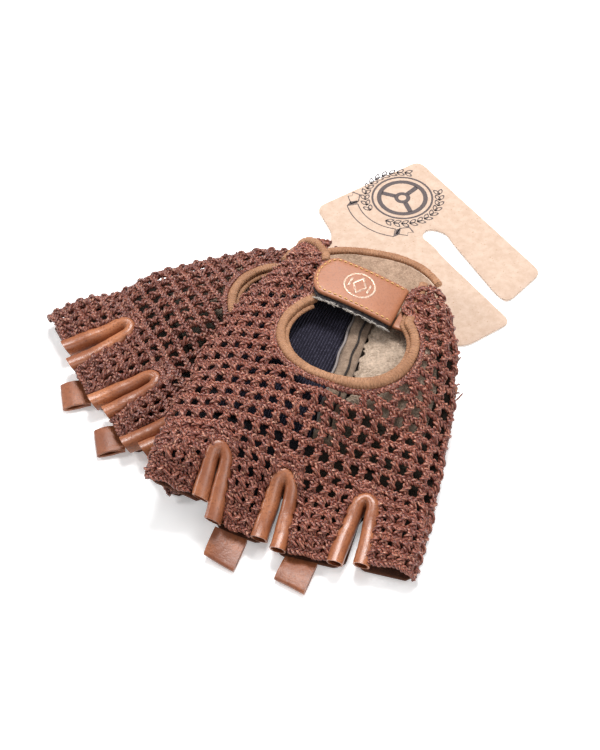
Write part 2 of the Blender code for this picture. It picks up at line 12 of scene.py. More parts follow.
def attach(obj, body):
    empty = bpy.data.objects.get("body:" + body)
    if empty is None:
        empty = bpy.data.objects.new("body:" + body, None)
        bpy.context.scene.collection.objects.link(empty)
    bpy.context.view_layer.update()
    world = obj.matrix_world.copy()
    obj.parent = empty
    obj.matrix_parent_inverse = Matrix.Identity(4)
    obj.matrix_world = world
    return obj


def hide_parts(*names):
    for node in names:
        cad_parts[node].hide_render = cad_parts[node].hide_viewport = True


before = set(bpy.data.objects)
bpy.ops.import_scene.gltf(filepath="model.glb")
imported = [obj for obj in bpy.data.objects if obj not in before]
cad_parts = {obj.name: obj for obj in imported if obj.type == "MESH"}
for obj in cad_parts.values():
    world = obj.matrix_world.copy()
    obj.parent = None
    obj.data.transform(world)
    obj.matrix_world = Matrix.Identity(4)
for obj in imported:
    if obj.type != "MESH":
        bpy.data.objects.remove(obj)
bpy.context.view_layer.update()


# ---- Table, light and view -----------------------------------------------------------------------
# A plain white table under large soft lights, as for a catalogue picture. The long lens stands well
# back and looks down at the gloves.
table = bpy.data.meshes.new("table")
table.from_pydata([(-3, -3, 0), (3, -3, 0), (3, 3, 0), (-3, 3, 0)], [], [(0, 1, 2, 3)])
table_top = bpy.data.objects.new("table", table)
table_top.location.z = -0.0004
bpy.context.scene.collection.objects.link(table_top)
table_white = bpy.data.materials.new("table_white")
table_white.use_nodes = True
table_shader = table_white.node_tree.nodes["Principled BSDF"]
table_shader.inputs["Base Color"].default_value = (0.93, 0.93, 0.93, 1)
table_shader.inputs["Roughness"].default_value = 0.9
table_shader.inputs["Emission Color"].default_value = (1, 1, 1, 1)
table_shader.inputs["Emission Strength"].default_value = 0.30
table.materials.append(table_white)


def soft_light(name, place, aim, size, power):
    lamp = bpy.data.lights.new(name, "AREA")
    lamp.shape = "DISK"
    lamp.size = size
    lamp.energy = power
    item = bpy.data.objects.new(name, lamp)
    item.location = place
    item.rotation_euler = (Vector(aim) - Vector(place)).to_track_quat("-Z", "Y").to_euler()
    bpy.context.scene.collection.objects.link(item)


soft_light("overhead", (0.10, 0.45, 1.05), (0, 0, 0), 0.5, 15.0)
soft_light("window", (-0.9, 0.15, 0.75), (0, 0, 0), 0.4, 5.0)
soft_light("fill", (0.7, -0.6, 0.7), (0, 0, 0), 0.6, 4.0)
world = bpy.data.worlds.new("room")
world.use_nodes = True
world.node_tree.nodes["Background"].inputs["Color"].default_value = (1.0, 1.0, 1.0, 1)
world.node_tree.nodes["Background"].inputs["Strength"].default_value = 0.32
bpy.context.scene.world = world
bpy.context.scene.view_settings.view_transform = "Standard"

VIEW_DOWN = math.radians(48.0)
VIEW_BACK = 0.7716
lens = bpy.data.cameras.new("camera")
lens.lens = 100.0
lens.sensor_width = 36.0
camera = bpy.data.objects.new("camera", lens)
aim = Vector((0.00166, -0.00723, 0.0))
camera.location = aim + Vector((0.0, -math.cos(VIEW_DOWN), math.sin(VIEW_DOWN))) * VIEW_BACK
camera.rotation_euler = (math.pi / 2 - VIEW_DOWN, 0.0, 0.0)
bpy.context.scene.collection.objects.link(camera)
bpy.context.scene.camera = camera


# ---- How the pair lies ---------------------------------------------------------------------------
# The left glove lies on the table with its wrist on the card, and the right glove lies across it.
# Millimetres: across runs to the index finger, along from the wrist to the fingertips, up off the palm.
MIDDLE = np.array((-1.657, 7.230, 0.0))
LIE = {
    "right": {"origin": (29.5, 49.2), "heading": -106.0, "turn": 1.0},
    "left": {"origin": (50.0, 42.8), "heading": 206.5, "turn": -1.0},
}
GLOVES = ("left", "right")
PALM_THICK = 1.2
THUMB_CENTRE = (29.0, 76.0)
THUMB_SIZE = (31.0, 42.0)
THUMB_THICK = 2.8
THUMB_GAP = 0.9
THUMB_EARLY = 13.0
THUMB_EASE = 12.5
CARD_CORNER = (22.0, 22.0)
CARD_FRONT = (0.196, 0.981)
CARD_SIDE = (0.932, 0.363)
CARD_LIFT = 0.9
CARD_EARLY = 18.0
CARD_EASE = 8.0
PAIR_LIFT = 16.6
PAIR_EARLY = 85.0
PAIR_EASE = 43.0


def smooth(value):
    value = np.clip(value, 0.0, 1.0)
    return value * value * (3.0 - 2.0 * value)


def to_table(side, across, along):
    """Table position of a place on a glove."""
    lie = LIE[side]
    angle = math.radians(lie["heading"])
    forward = np.array((math.cos(angle), math.sin(angle)))
    right = lie["turn"] * np.array((-forward[1], forward[0]))
    x = lie["origin"][0] + across * right[0] + along * forward[0]
    y = lie["origin"][1] + across * right[1] + along * forward[1]
    return x, y


def ground(side, x, y):
    """Height of what lies under a glove: the card for the left, the left glove for the right."""
    if side == "left":
        from_front = (x - CARD_CORNER[0]) * CARD_FRONT[0] + (y - CARD_CORNER[1]) * CARD_FRONT[1]
        from_side = (x - CARD_CORNER[0]) * CARD_SIDE[0] + (y - CARD_CORNER[1]) * CARD_SIDE[1]
        rise = CARD_LIFT * smooth((from_front + CARD_EARLY) / CARD_EASE)
        return rise * smooth((from_side + CARD_EARLY) / CARD_EASE)
    angle = math.radians(LIE["left"]["heading"])
    left_x, left_y = LIE["left"]["origin"]
    sideways = (x - left_x) * math.sin(angle) - (y - left_y) * math.cos(angle)
    return PAIR_LIFT * smooth((sideways + PAIR_EARLY) / PAIR_EASE)


def thumb_lift(across, along):
    """Rise of the palm over the thumb folded beneath it."""
    side = smooth((across - THUMB_CENTRE[0] + THUMB_SIZE[0] / 2 + THUMB_EARLY) / THUMB_EASE)
    start = smooth((along - THUMB_CENTRE[1] + THUMB_SIZE[1] / 2 + THUMB_EARLY) / THUMB_EASE)
    end = smooth((THUMB_CENTRE[1] + THUMB_SIZE[1] / 2 + THUMB_EARLY - along) / THUMB_EASE)
    return (THUMB_THICK + THUMB_GAP) * side * start * end


def place(side, across, along, up):
    """Points in space of places on a glove, over whatever it lies on."""
    x, y = to_table(side, across, along)
    under = ground(side, x, y)
    lift = thumb_lift(across, along)
    if side == "right":
        lift = lift * (1.0 - smooth(under / 5.0))
    return np.stack(np.broadcast_arrays(x, y, under + lift + up), axis=-1)


def place_flat(side, across, along, up):
    """The same for pieces under the palm, which the thumb does not lift."""
    x, y = to_table(side, across, along)
    under = ground(side, x, y)
    if side == "right":
        under = under - (THUMB_THICK + THUMB_GAP) * smooth(under / 5.0)
    return np.stack(np.broadcast_arrays(x, y, under + up), axis=-1)


# ---- Crochet backs -------------------------------------------------------------------------------
# Glossy brown cotton, three plies to the yarn, worked as an open filet: bands of chain stitch joined
# by twisted posts, with dense short rows over the fingers. Sewn to the palm and caught in the bindings.
BACK_THICK = 1.6
HALF_WIDTH_ALONG = (7.0, 15.0, 22.0, 30.0, 40.0, 54.0, 72.0, 92.0, 115.0, 142.0)
HALF_WIDTH = (27.0, 29.5, 32.0, 35.0, 39.0, 43.0, 45.5, 47.0, 48.5, 48.5)
HEIGHT_ALONG = (8.0, 30.0, 50.0, 75.0, 100.0, 118.0, 142.0)
HEIGHT = (10.5, 10.8, 11.5, 13.0, 13.0, 12.0, 10.0)
ARCH_POWER = 2.6
FINGER_CENTRE = (-39.6, -14.0, 11.7, 40.0)
FINGER_HALF = (8.6, 6.0, 8.6, 8.5)
FINGER_END = (132.0, 137.0, 139.5, 138.0)
CROTCH_ACROSS = (-25.6, -2.5, 26.0)
CROTCH_ALONG = (114.0, 113.5, 111.5)
FINGER_DROOP = (5.0, 4.6, 4.0, 1.6)
FINGER_GIRTH = (35.0, 18.0, 23.0, 33.0)
FINGER_INSET = ((0.0, 0.95), (0.085, 0.915), (0.07, 0.93), (0.05, 1.0))
FINGER_EDGE_UP = 6.2
SEWN_UP = 2.5
KEYHOLE_CENTRE = (3.6, 57.5)
KEYHOLE_RADII = (24.0, 21.5)
SLIT_LEFT = -13.0
SLIT_RIGHT = 22.3
LOBE_EDGES = (-14.6, 19.4)
LOBE_CORNER = 5.5
LAST_ROW = 108.8
COLUMNS = 19
ROW_STEP = 5.75
CHAIN_STEP = 0.8
YARN = 0.58
YARN_TONES = ((0.190, 0.044, 0.028), (0.350, 0.105, 0.063), (0.64, 0.320, 0.205))
# Painted shade: the dark colour laid into the grooves between the plies.
YARN_GROOVE_SHADE = (0.075, 0.016, 0.011, 1)
# Painted shade: the left glove's yarn colours are scaled to 0.80, a darker copy of the same yarn to offset
# the stronger light on it.
YARN_PAINTED_SHADE = {"left": 0.80, "right": 1.0}
YARN_SEEDS = {"left": 31, "right": 47}
RIPPLE_SEEDS = {"left": 5, "right": 9}
LOOSE_ENDS = {"left": (61.0, 64.0), "right": (58.0, 60.5, 63.0, 49.0)}


class Value:
    """A shader socket that can be reckoned with."""

    def __init__(self, finish, socket):
        self.finish = finish
        self.socket = socket

    def reckon(self, operation, first, second=0.0):
        return self.finish.node("ShaderNodeMath", {"operation": operation}, {0: first, 1: second})

    def __add__(self, other):
        return self.reckon("ADD", self, other)

    def __sub__(self, other):
        return self.reckon("SUBTRACT", self, other)

    def __rsub__(self, other):
        return self.reckon("SUBTRACT", other, self)

    def __mul__(self, other):
        return self.reckon("MULTIPLY", self, other)

    __radd__ = __add__
    __rmul__ = __mul__

    def sine(self):
        return self.reckon("SINE", self)

    def over(self, low, high):
        """0 below low, 1 above high, eased between."""
        settings = {"interpolation_type": "SMOOTHSTEP"}
        inputs = {"Value": self, "From Min": low, "From Max": high}
        return self.finish.node("ShaderNodeMapRange", settings, inputs)


class Finish:
    """A material: its fixed values, and whatever varies over the surface."""

    def __init__(self, name, **fixed):
        self.material = bpy.data.materials.new(name)
        self.material.use_nodes = True
        self.tree = self.material.node_tree
        self.shader = self.tree.nodes["Principled BSDF"]
        for key, value in fixed.items():
            self.shader.inputs[key.replace("_", " ")].default_value = value

    def node(self, kind, settings, inputs, output=0):
        made = self.tree.nodes.new(kind)
        for key, value in settings.items():
            setattr(made, key, value)
        for key, value in inputs.items():
            if isinstance(value, Value):
                self.tree.links.new(value.socket, made.inputs[key])
            else:
                made.inputs[key].default_value = value
        return Value(self, made.outputs[output])

    def feed(self, key, value):
        self.tree.links.new(value.socket, self.shader.inputs[key])

    def where(self):
        """Place on the object, metres."""
        return self.node("ShaderNodeTexCoord", {}, {}, "Object")

    def lay(self):
        """The piece's own two coordinates, millimetres: along a yarn and round it, or flat on a sheet."""
        both = self.node("ShaderNodeUVMap", {"uv_map": "lay"}, {})
        first = self.node("ShaderNodeSeparateXYZ", {}, {0: both})
        return first, Value(self, first.socket.node.outputs[1])

    def noise(self, scale, detail=2.0, roughness=0.5, vector=None):
        vector = vector or self.where()
        inputs = {"Vector": vector, "Scale": scale, "Detail": detail, "Roughness": roughness}
        return self.node("ShaderNodeTexNoise", {}, inputs)

    def blend(self, share, first, second):
        """Colour between two colours; sockets 0, 6 and 7 are its factor and colours."""
        return self.node("ShaderNodeMix", {"data_type": "RGBA"}, {0: share, 6: first, 7: second}, 2)

    def relief(self, height, depth, strength=1.0):
        bump = self.node("ShaderNodeBump", {}, {"Height": height, "Distance": depth, "Strength": strength})
        self.feed("Normal", bump)


def build_mesh(name, vertices, faces, corner_uv=None, vertex_uv=None, marks=None, sharp=None):
    """Smooth mesh object from points in millimetres and face arrays, one array per number of corners."""
    mesh = bpy.data.meshes.new(name)
    corners = np.concatenate([np.asarray(part).ravel() for part in faces]).astype(np.int32)
    counts = np.concatenate([np.full(len(part), np.asarray(part).shape[1]) for part in faces])
    mesh.vertices.add(len(vertices))
    mesh.vertices.foreach_set("co", ((np.asarray(vertices) - MIDDLE) * 0.001).astype(np.float32).ravel())
    mesh.loops.add(len(corners))
    mesh.loops.foreach_set("vertex_index", corners)
    mesh.polygons.add(len(counts))
    starts = np.concatenate(((0,), np.cumsum(counts)[:-1])).astype(np.int32)
    mesh.polygons.foreach_set("loop_start", starts)
    mesh.update(calc_edges=True)
    if vertex_uv is not None:
        corner_uv = np.asarray(vertex_uv)[corners]
    if corner_uv is not None:
        layer = mesh.uv_layers.new(name="lay")
        layer.data.foreach_set("uv", np.asarray(corner_uv, dtype=np.float32).ravel())
    if marks is not None:
        mesh.polygons.foreach_set("material_index", np.asarray(marks, dtype=np.int32))
    mesh.polygons.foreach_set("use_smooth", np.ones(len(counts), dtype=bool))
    if sharp is not None:
        mesh.set_sharp_from_angle(angle=math.radians(sharp))
    item = bpy.data.objects.new(name, mesh)
    bpy.context.scene.collection.objects.link(item)
    return item


def tube_arrays(lines, normals, radius, sides, tip=0.25):
    """Round tubes on centre lines of equal point count: points, quads, end caps and corner coordinates."""
    count, steps = lines.shape[:2]
    run = np.gradient(lines, axis=1)
    length = np.cumsum(np.linalg.norm(np.diff(lines, axis=1), axis=2), axis=1)
    length = np.concatenate((np.zeros((count, 1)), length), axis=1)
    side = np.cross(run, normals)
    side /= np.maximum(np.linalg.norm(side, axis=2, keepdims=True), 1e-9)
    up = np.cross(side, run)
    up /= np.maximum(np.linalg.norm(up, axis=2, keepdims=True), 1e-9)
    angle = 2 * math.pi * np.arange(sides) / sides
    thick = np.full(steps, radius)
    thick[0] *= tip
    thick[-1] *= tip
    ring = side[:, :, None, :] * np.cos(angle)[None, None, :, None]
    ring = ring + up[:, :, None, :] * np.sin(angle)[None, None, :, None]
    points = lines[:, :, None, :] + ring * thick[None, :, None, None]
    index = np.arange(count * steps * sides).reshape(count, steps, sides)
    turned = np.roll(index, -1, axis=2)
    quads = np.stack((index[:, :-1], turned[:, :-1], turned[:, 1:], index[:, 1:]), axis=-1)
    caps = np.concatenate((index[:, 0, ::-1], index[:, -1]), axis=0)
    here = np.broadcast_to(length[:, :-1, None], quads.shape[:3])
    there = np.broadcast_to(length[:, 1:, None], quads.shape[:3])
    round_from = np.broadcast_to(np.arange(sides) / sides, quads.shape[:3])
    round_to = round_from + 1.0 / sides
    uv = np.stack((np.stack((here, here, there, there), -1),
                   np.stack((round_from, round_to, round_to, round_from), -1)), -1)
    cap_uv = np.zeros((len(caps) * sides, 2))
    return points.reshape(-1, 3), quads.reshape(-1, 4), caps, uv.reshape(-1, 2), cap_uv


def tubes(name, bundles, radius, sides=5, tip=0.25):
    """One mesh of many tubes; a bundle is lines and normals of equal point count."""
    points, quads, caps, uvs, cap_uvs = [], [], [], [], []
    base = 0
    for lines, normals in bundles:
        p, q, c, u, cu = tube_arrays(np.asarray(lines), np.asarray(normals), radius, sides, tip)
        points.append(p)
        quads.append(q + base)
        caps.append(c + base)
        uvs.append(u)
        cap_uvs.append(cu)
        base += len(p)
    faces = [np.concatenate(quads), np.concatenate(caps)]
    uv = np.concatenate(uvs + cap_uvs)
    return build_mesh(name, np.concatenate(points), faces, corner_uv=uv)


def body_top(side, along):
    top = np.interp(along, HEIGHT_ALONG, HEIGHT)
    if side == "left":
        top = top * (0.84 + 0.16 * smooth((along - 45.0) / 55.0))
    return top


def signed_power(value, power):
    """A power that keeps the sign, which squares off a sine or a cosine."""
    return np.sign(value) * np.abs(value) ** power


def arch(centre, half, top, left_up, right_up):
    """Cross-sections of the back, one row per station, with their length so far."""
    angle = np.linspace(0.0, math.pi, 161)
    shape = signed_power(-np.cos(angle), 2.0 / ARCH_POWER)
    rise = np.abs(np.sin(angle)) ** (2.0 / ARCH_POWER)
    base = left_up + (right_up - left_up) * (shape + 1.0) / 2.0
    across = centre + half[:, None] * shape
    up = base + (top[:, None] - base) * rise
    length = np.cumsum(np.hypot(np.diff(across, axis=1), np.diff(up, axis=1)), axis=1)
    return across, up, np.concatenate((np.zeros((len(half), 1)), length), axis=1)


def read_arch(section, shares):
    """Points of each station at the given shares of its length."""
    across, up, length = section
    out = np.zeros((len(across), len(shares), 2))
    for row in range(len(across)):
        wanted = shares * length[row, -1]
        out[row, :, 0] = np.interp(wanted, length[row], across[row])
        out[row, :, 1] = np.interp(wanted, length[row], up[row])
    return out


def share_at(side, across, along):
    """Share of the way round the back at places on the hand."""
    across = np.atleast_1d(np.asarray(across, float))
    along = np.broadcast_to(np.asarray(along, float), across.shape)
    half = np.interp(along, HALF_WIDTH_ALONG, HALF_WIDTH)
    section = arch(0.0, half, body_top(side, along), SEWN_UP, SEWN_UP)
    return np.array([np.interp(a, s, n) / n[-1] for a, s, n in zip(across, section[0], section[2])])


def top_of_back(side, across, along):
    """Height of the middle of the crochet over the palm."""
    half = np.interp(along, HALF_WIDTH_ALONG, HALF_WIDTH)
    shape = np.clip(np.abs(across / half), 0.0, 1.0)
    rise = (1.0 - shape ** ARCH_POWER) ** (1.0 / ARCH_POWER)
    return SEWN_UP + (body_top(side, along) - SEWN_UP) * rise


class Back:
    """The curved surface that one crochet back lies on, as fine grids, one per finger."""

    ACROSS = 61
    ALONG = np.arange(6.0, 144.1, 1.0)

    def __init__(self, side):
        self.side = side
        limits = [float(share_at(side, a, v)[0]) for a, v in zip(CROTCH_ACROSS, CROTCH_ALONG)]
        self.limits = [0.0] + limits + [1.0]
        half = np.interp(self.ALONG, HALF_WIDTH_ALONG, HALF_WIDTH)
        body = arch(0.0, half, body_top(side, self.ALONG), SEWN_UP, SEWN_UP)
        inside = np.linspace(0.0, 1.0, self.ACROSS)
        starts = (CROTCH_ALONG[0],) + CROTCH_ALONG + (CROTCH_ALONG[2],)
        rng = np.random.default_rng(RIPPLE_SEEDS[side])
        waves = [(rng.uniform(0.1, 0.4), rng.uniform(0.1, 0.4), rng.uniform(0, 6)) for _ in range(7)]
        self.points, self.normals = [], []
        for finger in range(4):
            low, high = self.limits[finger], self.limits[finger + 1]
            on_body = read_arch(body, low + (high - low) * inside)
            left_up = SEWN_UP if finger == 0 else FINGER_EDGE_UP
            right_up = SEWN_UP if finger == 3 else FINGER_EDGE_UP
            widths = np.full(len(self.ALONG), FINGER_HALF[finger] - 0.3)
            droop = FINGER_DROOP[finger] * smooth((self.ALONG - FINGER_END[finger] + 11.0) / 11.0)
            tops = body_top(side, self.ALONG) - 0.6 - droop
            own = arch(FINGER_CENTRE[finger], widths, tops, left_up, right_up)
            on_finger = read_arch(own, inside)
            start = starts[finger] + (starts[finger + 1] - starts[finger]) * inside
            blend = smooth((self.ALONG[:, None] - start) / 9.0)[..., None]
            flat = on_body * (1.0 - blend) + on_finger * blend
            points = place(side, flat[..., 0], self.ALONG[:, None], flat[..., 1])
            normals = np.cross(np.gradient(points, axis=1), np.gradient(points, axis=0))
            normals /= np.linalg.norm(normals, axis=2, keepdims=True)
            normals *= np.sign(normals[60, self.ACROSS // 2, 2])
            ripple = sum(np.sin(flat[..., 0] * a + self.ALONG[:, None] * b + c) for a, b, c in waves)
            points = points + normals * ripple[..., None] * 0.13
            self.points.append(points)
            self.normals.append(normals)

    def look_up(self, share, along):
        """Points and normals at shares and places along; far past the crotch each finger keeps its own."""
        share = np.clip(np.atleast_1d(np.asarray(share, float)), 0.0, 1.0)
        along = np.broadcast_to(np.asarray(along, float), share.shape)
        along = np.clip(along, self.ALONG[0], self.ALONG[-1] - 0.01)
        finger = np.clip(np.searchsorted(self.limits, share) - 1, 0, 3)
        low = np.array(self.limits)[finger]
        high = np.array(self.limits)[finger + 1]
        inside = np.clip((share - low) / (high - low), 0.0, 1.0) * (self.ACROSS - 1)
        column = np.minimum(inside.astype(int), self.ACROSS - 2)
        row = (along - self.ALONG[0]).astype(int)
        a = (inside - column)[..., None]
        b = (along - self.ALONG[0] - row)[..., None]
        out = []
        for grids in (self.points, self.normals):
            grid = np.stack(grids)
            value = grid[finger, row, column] * (1 - a) * (1 - b)
            value = value + grid[finger, row, column + 1] * a * (1 - b)
            value = value + grid[finger, row + 1, column] * (1 - a) * b
            value = value + grid[finger, row + 1, column + 1] * a * b
            out.append(value)
        return out[0], out[1] / np.linalg.norm(out[1], axis=-1, keepdims=True)


def length_along(points):
    """Length of a polyline up to each of its points."""
    return np.concatenate(((0.0,), np.cumsum(np.linalg.norm(np.diff(points, axis=0), axis=1))))


def braid(points, normals, width, height, pitch, phase):
    """Three strands plaited along a path, as a chain of stitches looks."""
    run = np.gradient(points, axis=0)
    length = length_along(points)
    side = np.cross(run, normals)
    side /= np.maximum(np.linalg.norm(side, axis=1, keepdims=True), 1e-9)
    turn = 2 * math.pi * length / pitch + phase
    lines = []
    for strand in range(3):
        angle = turn + 2 * math.pi * strand / 3
        swing = side * (width * np.sin(angle))[:, None]
        lines.append(points + swing + normals * (height * np.sin(2 * angle))[:, None])
    return np.stack(lines), np.stack([normals] * 3)


def posts(back, shares, starts, ends, rng, width):
    """Twisted posts between two rows, and the yarn wrapped once round each."""
    steps = 8
    count = len(shares)
    ease = np.linspace(0.0, 1.0, steps)
    lean = rng.normal(0.0, 0.0025, count)
    share = shares[:, None] + lean[:, None] * (ease - 0.5)
    along = starts[:, None] + (ends - starts)[:, None] * ease
    flat_points, flat_normals = back.look_up(share.ravel(), along.ravel())
    points = flat_points.reshape(count, steps, 3)
    normals = flat_normals.reshape(count, steps, 3)
    run = np.gradient(points, axis=1)
    side = np.cross(run, normals)
    side /= np.maximum(np.linalg.norm(side, axis=2, keepdims=True), 1e-9)
    start = rng.uniform(0, 2 * math.pi, count)
    flare = width * (1.0 + 0.45 * np.abs(2 * ease - 1.0) ** 3)
    lines = []
    for strand in range(3):
        angle = start[:, None] + 2 * math.pi * (ease * 0.95 + strand / 3)
        offset = side * (np.cos(angle) * flare)[..., None]
        lines.append(points + (offset + normals * (np.sin(angle) * width * 0.85)[..., None]))
    strands = (np.concatenate(lines), np.concatenate([normals] * 3))
    ring = np.linspace(-0.35, math.pi + 0.35, 8)
    middle = points[:, 3 + (count % 2)]
    direction = run[:, 3] / np.linalg.norm(run[:, 3], axis=1, keepdims=True)
    reach = width + YARN * 1.25
    slope = rng.uniform(0.5, 0.9, count) * rng.choice((-1, 1), count)
    wrap = middle[:, None] + side[:, 3][:, None] * (np.cos(ring) * reach)[None, :, None]
    wrap = wrap + normals[:, 3][:, None] * (np.sin(ring) * reach * 0.95)[None, :, None]
    wrap = wrap + direction[:, None] * (np.cos(ring)[None, :] * slope[:, None] * reach)[..., None]
    return [strands, (wrap, np.repeat(direction[:, None], 8, axis=1))]


def opening_sides(along, margin):
    """Across limits of the open slit and keyhole at one place along, or None below it."""
    reach = (along - KEYHOLE_CENTRE[1]) / (KEYHOLE_RADII[1] + margin)
    if reach >= 1.0:
        return None
    swing = (KEYHOLE_RADII[0] + margin) * math.sqrt(max(0.0, 1.0 - reach * reach))
    left = KEYHOLE_CENTRE[0] - swing
    right = KEYHOLE_CENTRE[0] + swing
    if along < KEYHOLE_CENTRE[1]:
        left = min(left, LOBE_EDGES[0])
        right = max(right, LOBE_EDGES[1] + LOBE_CORNER * (1.0 - smooth((along - 22.0) / 5.0)))
    return left, right


def keyhole_edge(grow, left, right):
    """Edge of the opening: left lobe, slit, keyhole, right lobe."""
    cx, cy = KEYHOLE_CENTRE
    rx = KEYHOLE_RADII[0] + grow
    ry = KEYHOLE_RADII[1] + grow
    start = math.acos(np.clip((left - cx) / rx, -1, 1))
    stop = math.acos(np.clip((right - cx) / rx, -1, 1))
    points = [(left, 19.5), (left - 0.4, 27.0)]
    for angle in np.linspace(-start, -stop - 2 * math.pi, 60):
        points.append((cx + rx * math.cos(angle), cy + ry * math.sin(angle)))
    points += [(right + 0.4, 32.0), (right, 20.5)]
    return np.array(points)


def even_path(points, step):
    """Points a fixed distance apart on a polyline."""
    points = np.asarray(points, float)
    length = length_along(points)
    wanted = np.linspace(0.0, length[-1], max(int(length[-1] / step), 2) + 1)
    return np.stack([np.interp(wanted, length, points[:, k]) for k in range(points.shape[1])], axis=1)


LOBE_TOP = ((-14.4, 21.5), (-15.4, 18.4), (-18.4, 14.4), (-22.0, 11.4), (-25.6, 9.8), (-28.4, 10.6),
            (-30.2, 14.0), (-31.6, 18.6))


def lobe_line(inward):
    """Smooth edge of the little-side lobe, drawn in towards its middle."""
    line = even_path(LOBE_TOP, 1.0)
    for _ in range(4):
        line[1:-1] = line[1:-1] * 0.5 + (line[:-2] + line[2:]) * 0.25
    centre = np.array((-22.5, 21.0))
    offset = centre - line
    return line + offset / np.linalg.norm(offset, axis=1, keepdims=True) * inward


def lobe_shares(along):
    """Shares at which the wrist lobes begin and end at one place along."""
    low = float(np.interp(along, (9.0, 10.5, 13.5, 18.5, 26.0), (0.24, 0.16, 0.09, 0.035, 0.0)))
    high = float(np.interp(along, (19.5, 22.0, 25.5, 29.5), (0.86, 0.93, 0.98, 1.0)))
    return low, high


def crochet_hand(back, rng):
    """Rows and posts of the open mesh over the hand."""
    side = back.side
    bundles = []
    rows = [LAST_ROW - ROW_STEP * k for k in range(18)]
    spans = {}
    for along in rows:
        low, high = lobe_shares(along)
        sides = opening_sides(along, 2.9)
        if sides is None:
            spans[along] = [(low, high)]
        else:
            left, right = share_at(side, sides, along)
            spans[along] = [(low, left)] + ([(right, high)] if along > 20.0 else [])
        for start, end in spans[along]:
            path = np.arange(start + 0.004, end - 0.003, 0.0078)
            if len(path) < 4:
                continue
            drift = 0.3 * np.sin(path * 37.0 + along) + rng.normal(0, 0.06, len(path))
            points, normals = back.look_up(path, along + drift)
            bundles.append(braid(points, normals, 0.95, 0.55, 5.7, along))
    for upper, lower in zip(rows[:-1], rows[1:]):
        shares = (np.arange(COLUMNS) + 0.5) / COLUMNS
        shares = shares + rng.normal(0.0, 0.0016, COLUMNS)
        keep = [all(any(a < s < b for a, b in spans[row]) for row in (lower, upper)) for s in shares]
        shares = shares[np.array(keep)]
        if len(shares):
            starts = np.full(len(shares), lower + 0.7)
            ends = np.full(len(shares), upper - 0.7)
            bundles += posts(back, shares, starts, ends, rng, 0.80)
    edge = np.concatenate((keyhole_edge(3.0, *LOBE_EDGES)[:-1], ((20.4, 27.0), (23.0, 24.0), (27.5, 22.8))))
    edge = even_path(edge, CHAIN_STEP)
    shares = share_at(side, edge[:, 0], edge[:, 1])
    bundles.append(braid(*back.look_up(shares, edge[:, 1]), 0.8, 0.5, 4.4, 0.0))
    for inward in (2.0, 4.2):
        line = even_path(lobe_line(inward), CHAIN_STEP)
        shares = share_at(side, line[:, 0], line[:, 1])
        bundles.append(braid(*back.look_up(shares, line[:, 1]), 0.85, 0.5, 4.6, 0.5))
    for share, start in ((0.012, 24.0), (0.988, 29.0)):
        along = np.arange(start, 130.0, CHAIN_STEP)
        bundles.append(braid(*back.look_up(np.full(len(along), share), along), 0.75, 0.5, 5.0, 1.0))
    return bundles


def crochet_finger(back, finger, rng):
    """Short dense rows over one finger."""
    bundles = []
    low, high = back.limits[finger], back.limits[finger + 1]
    first = max(CROTCH_ALONG[max(finger - 1, 0)], CROTCH_ALONG[min(finger, 2)]) - 1.0
    rows = np.linspace(LAST_ROW, FINGER_END[finger] - 1.2, 1 + round((FINGER_END[finger] - LAST_ROW) / 5.0))
    inset = np.array(FINGER_INSET[finger])
    for along in rows[1:]:
        first_share, last_share = low + (high - low) * inset
        path = np.linspace(first_share + 1e-4, last_share - 1e-4, int(FINGER_GIRTH[finger] / 0.85))
        drift = 0.35 * np.sin(path * 50.0 + along) + rng.normal(0, 0.08, len(path))
        bundles.append(braid(*back.look_up(path, along + drift), 0.88, 0.6, 5.2, along))
    count = int(round(FINGER_GIRTH[finger] / (4.6 if finger in (1, 2) else 5.2)))
    for lower, upper in zip(rows[:-1], rows[1:]):
        shares = low + (high - low) * (inset[0] + (inset[1] - inset[0]) * (np.arange(count) + 0.5) / count)
        shares = shares + rng.normal(0.0, 0.0012, count)
        bundles += posts(back, shares, np.full(count, lower + 0.5), np.full(count, upper - 0.5), rng, 0.78)
    sides = [s for s, inner in ((low, finger > 0), (high, finger < 3)) if inner]
    for share in sides:
        along = np.arange(first + 1.5, FINGER_END[finger] - 1.0, CHAIN_STEP)
        inset_share = (high - low) * (0.095 if finger in (1, 2) else 0.06)
        inner = np.full(len(along), share + (inset_share if share == low else -inset_share))
        bundles.append(braid(*back.look_up(inner, along), 0.6, 0.45, 4.4, 0.0))
    return bundles


def edging(back):
    """A short chain round the head of each gap between fingers."""
    bundles = []
    turn = np.linspace(0.1, 0.9, 18) * math.pi
    for limit, start in zip(back.limits[1:-1], CROTCH_ALONG):
        for reach, rise in ((0.040, 4.2), (0.052, 6.6)):
            along = start + 3.6 - rise * np.sin(turn)
            bundles.append(braid(*back.look_up(limit - reach * np.cos(turn), along), 0.75, 0.5, 4.6, start))
    return bundles


def loose_ends(back, rng):
    """Short ends of yarn that have worked out at the index side."""
    lines, normals = [], []
    for along in LOOSE_ENDS[back.side]:
        point, normal = back.look_up(0.985, along)
        side = np.cross(normal[0], (0.0, 0.0, 1.0))
        ease = np.linspace(0.0, 1.0, 10)[:, None]
        curl = rng.uniform(-1, 1, 3) * 2.2
        path = point + normal * (ease * rng.uniform(2.0, 3.6))
        path = path + side * (curl[0] * ease ** 2 + 0.9 * np.sin(ease * 5))
        path = path + np.array((0, 0, 1.0)) * (curl[1] * ease ** 2 - 0.6 * ease)
        lines.append(path)
        normals.append(np.broadcast_to((0.0, 0.0, 1.0), path.shape))
    return [(np.stack(lines), np.stack(normals))]


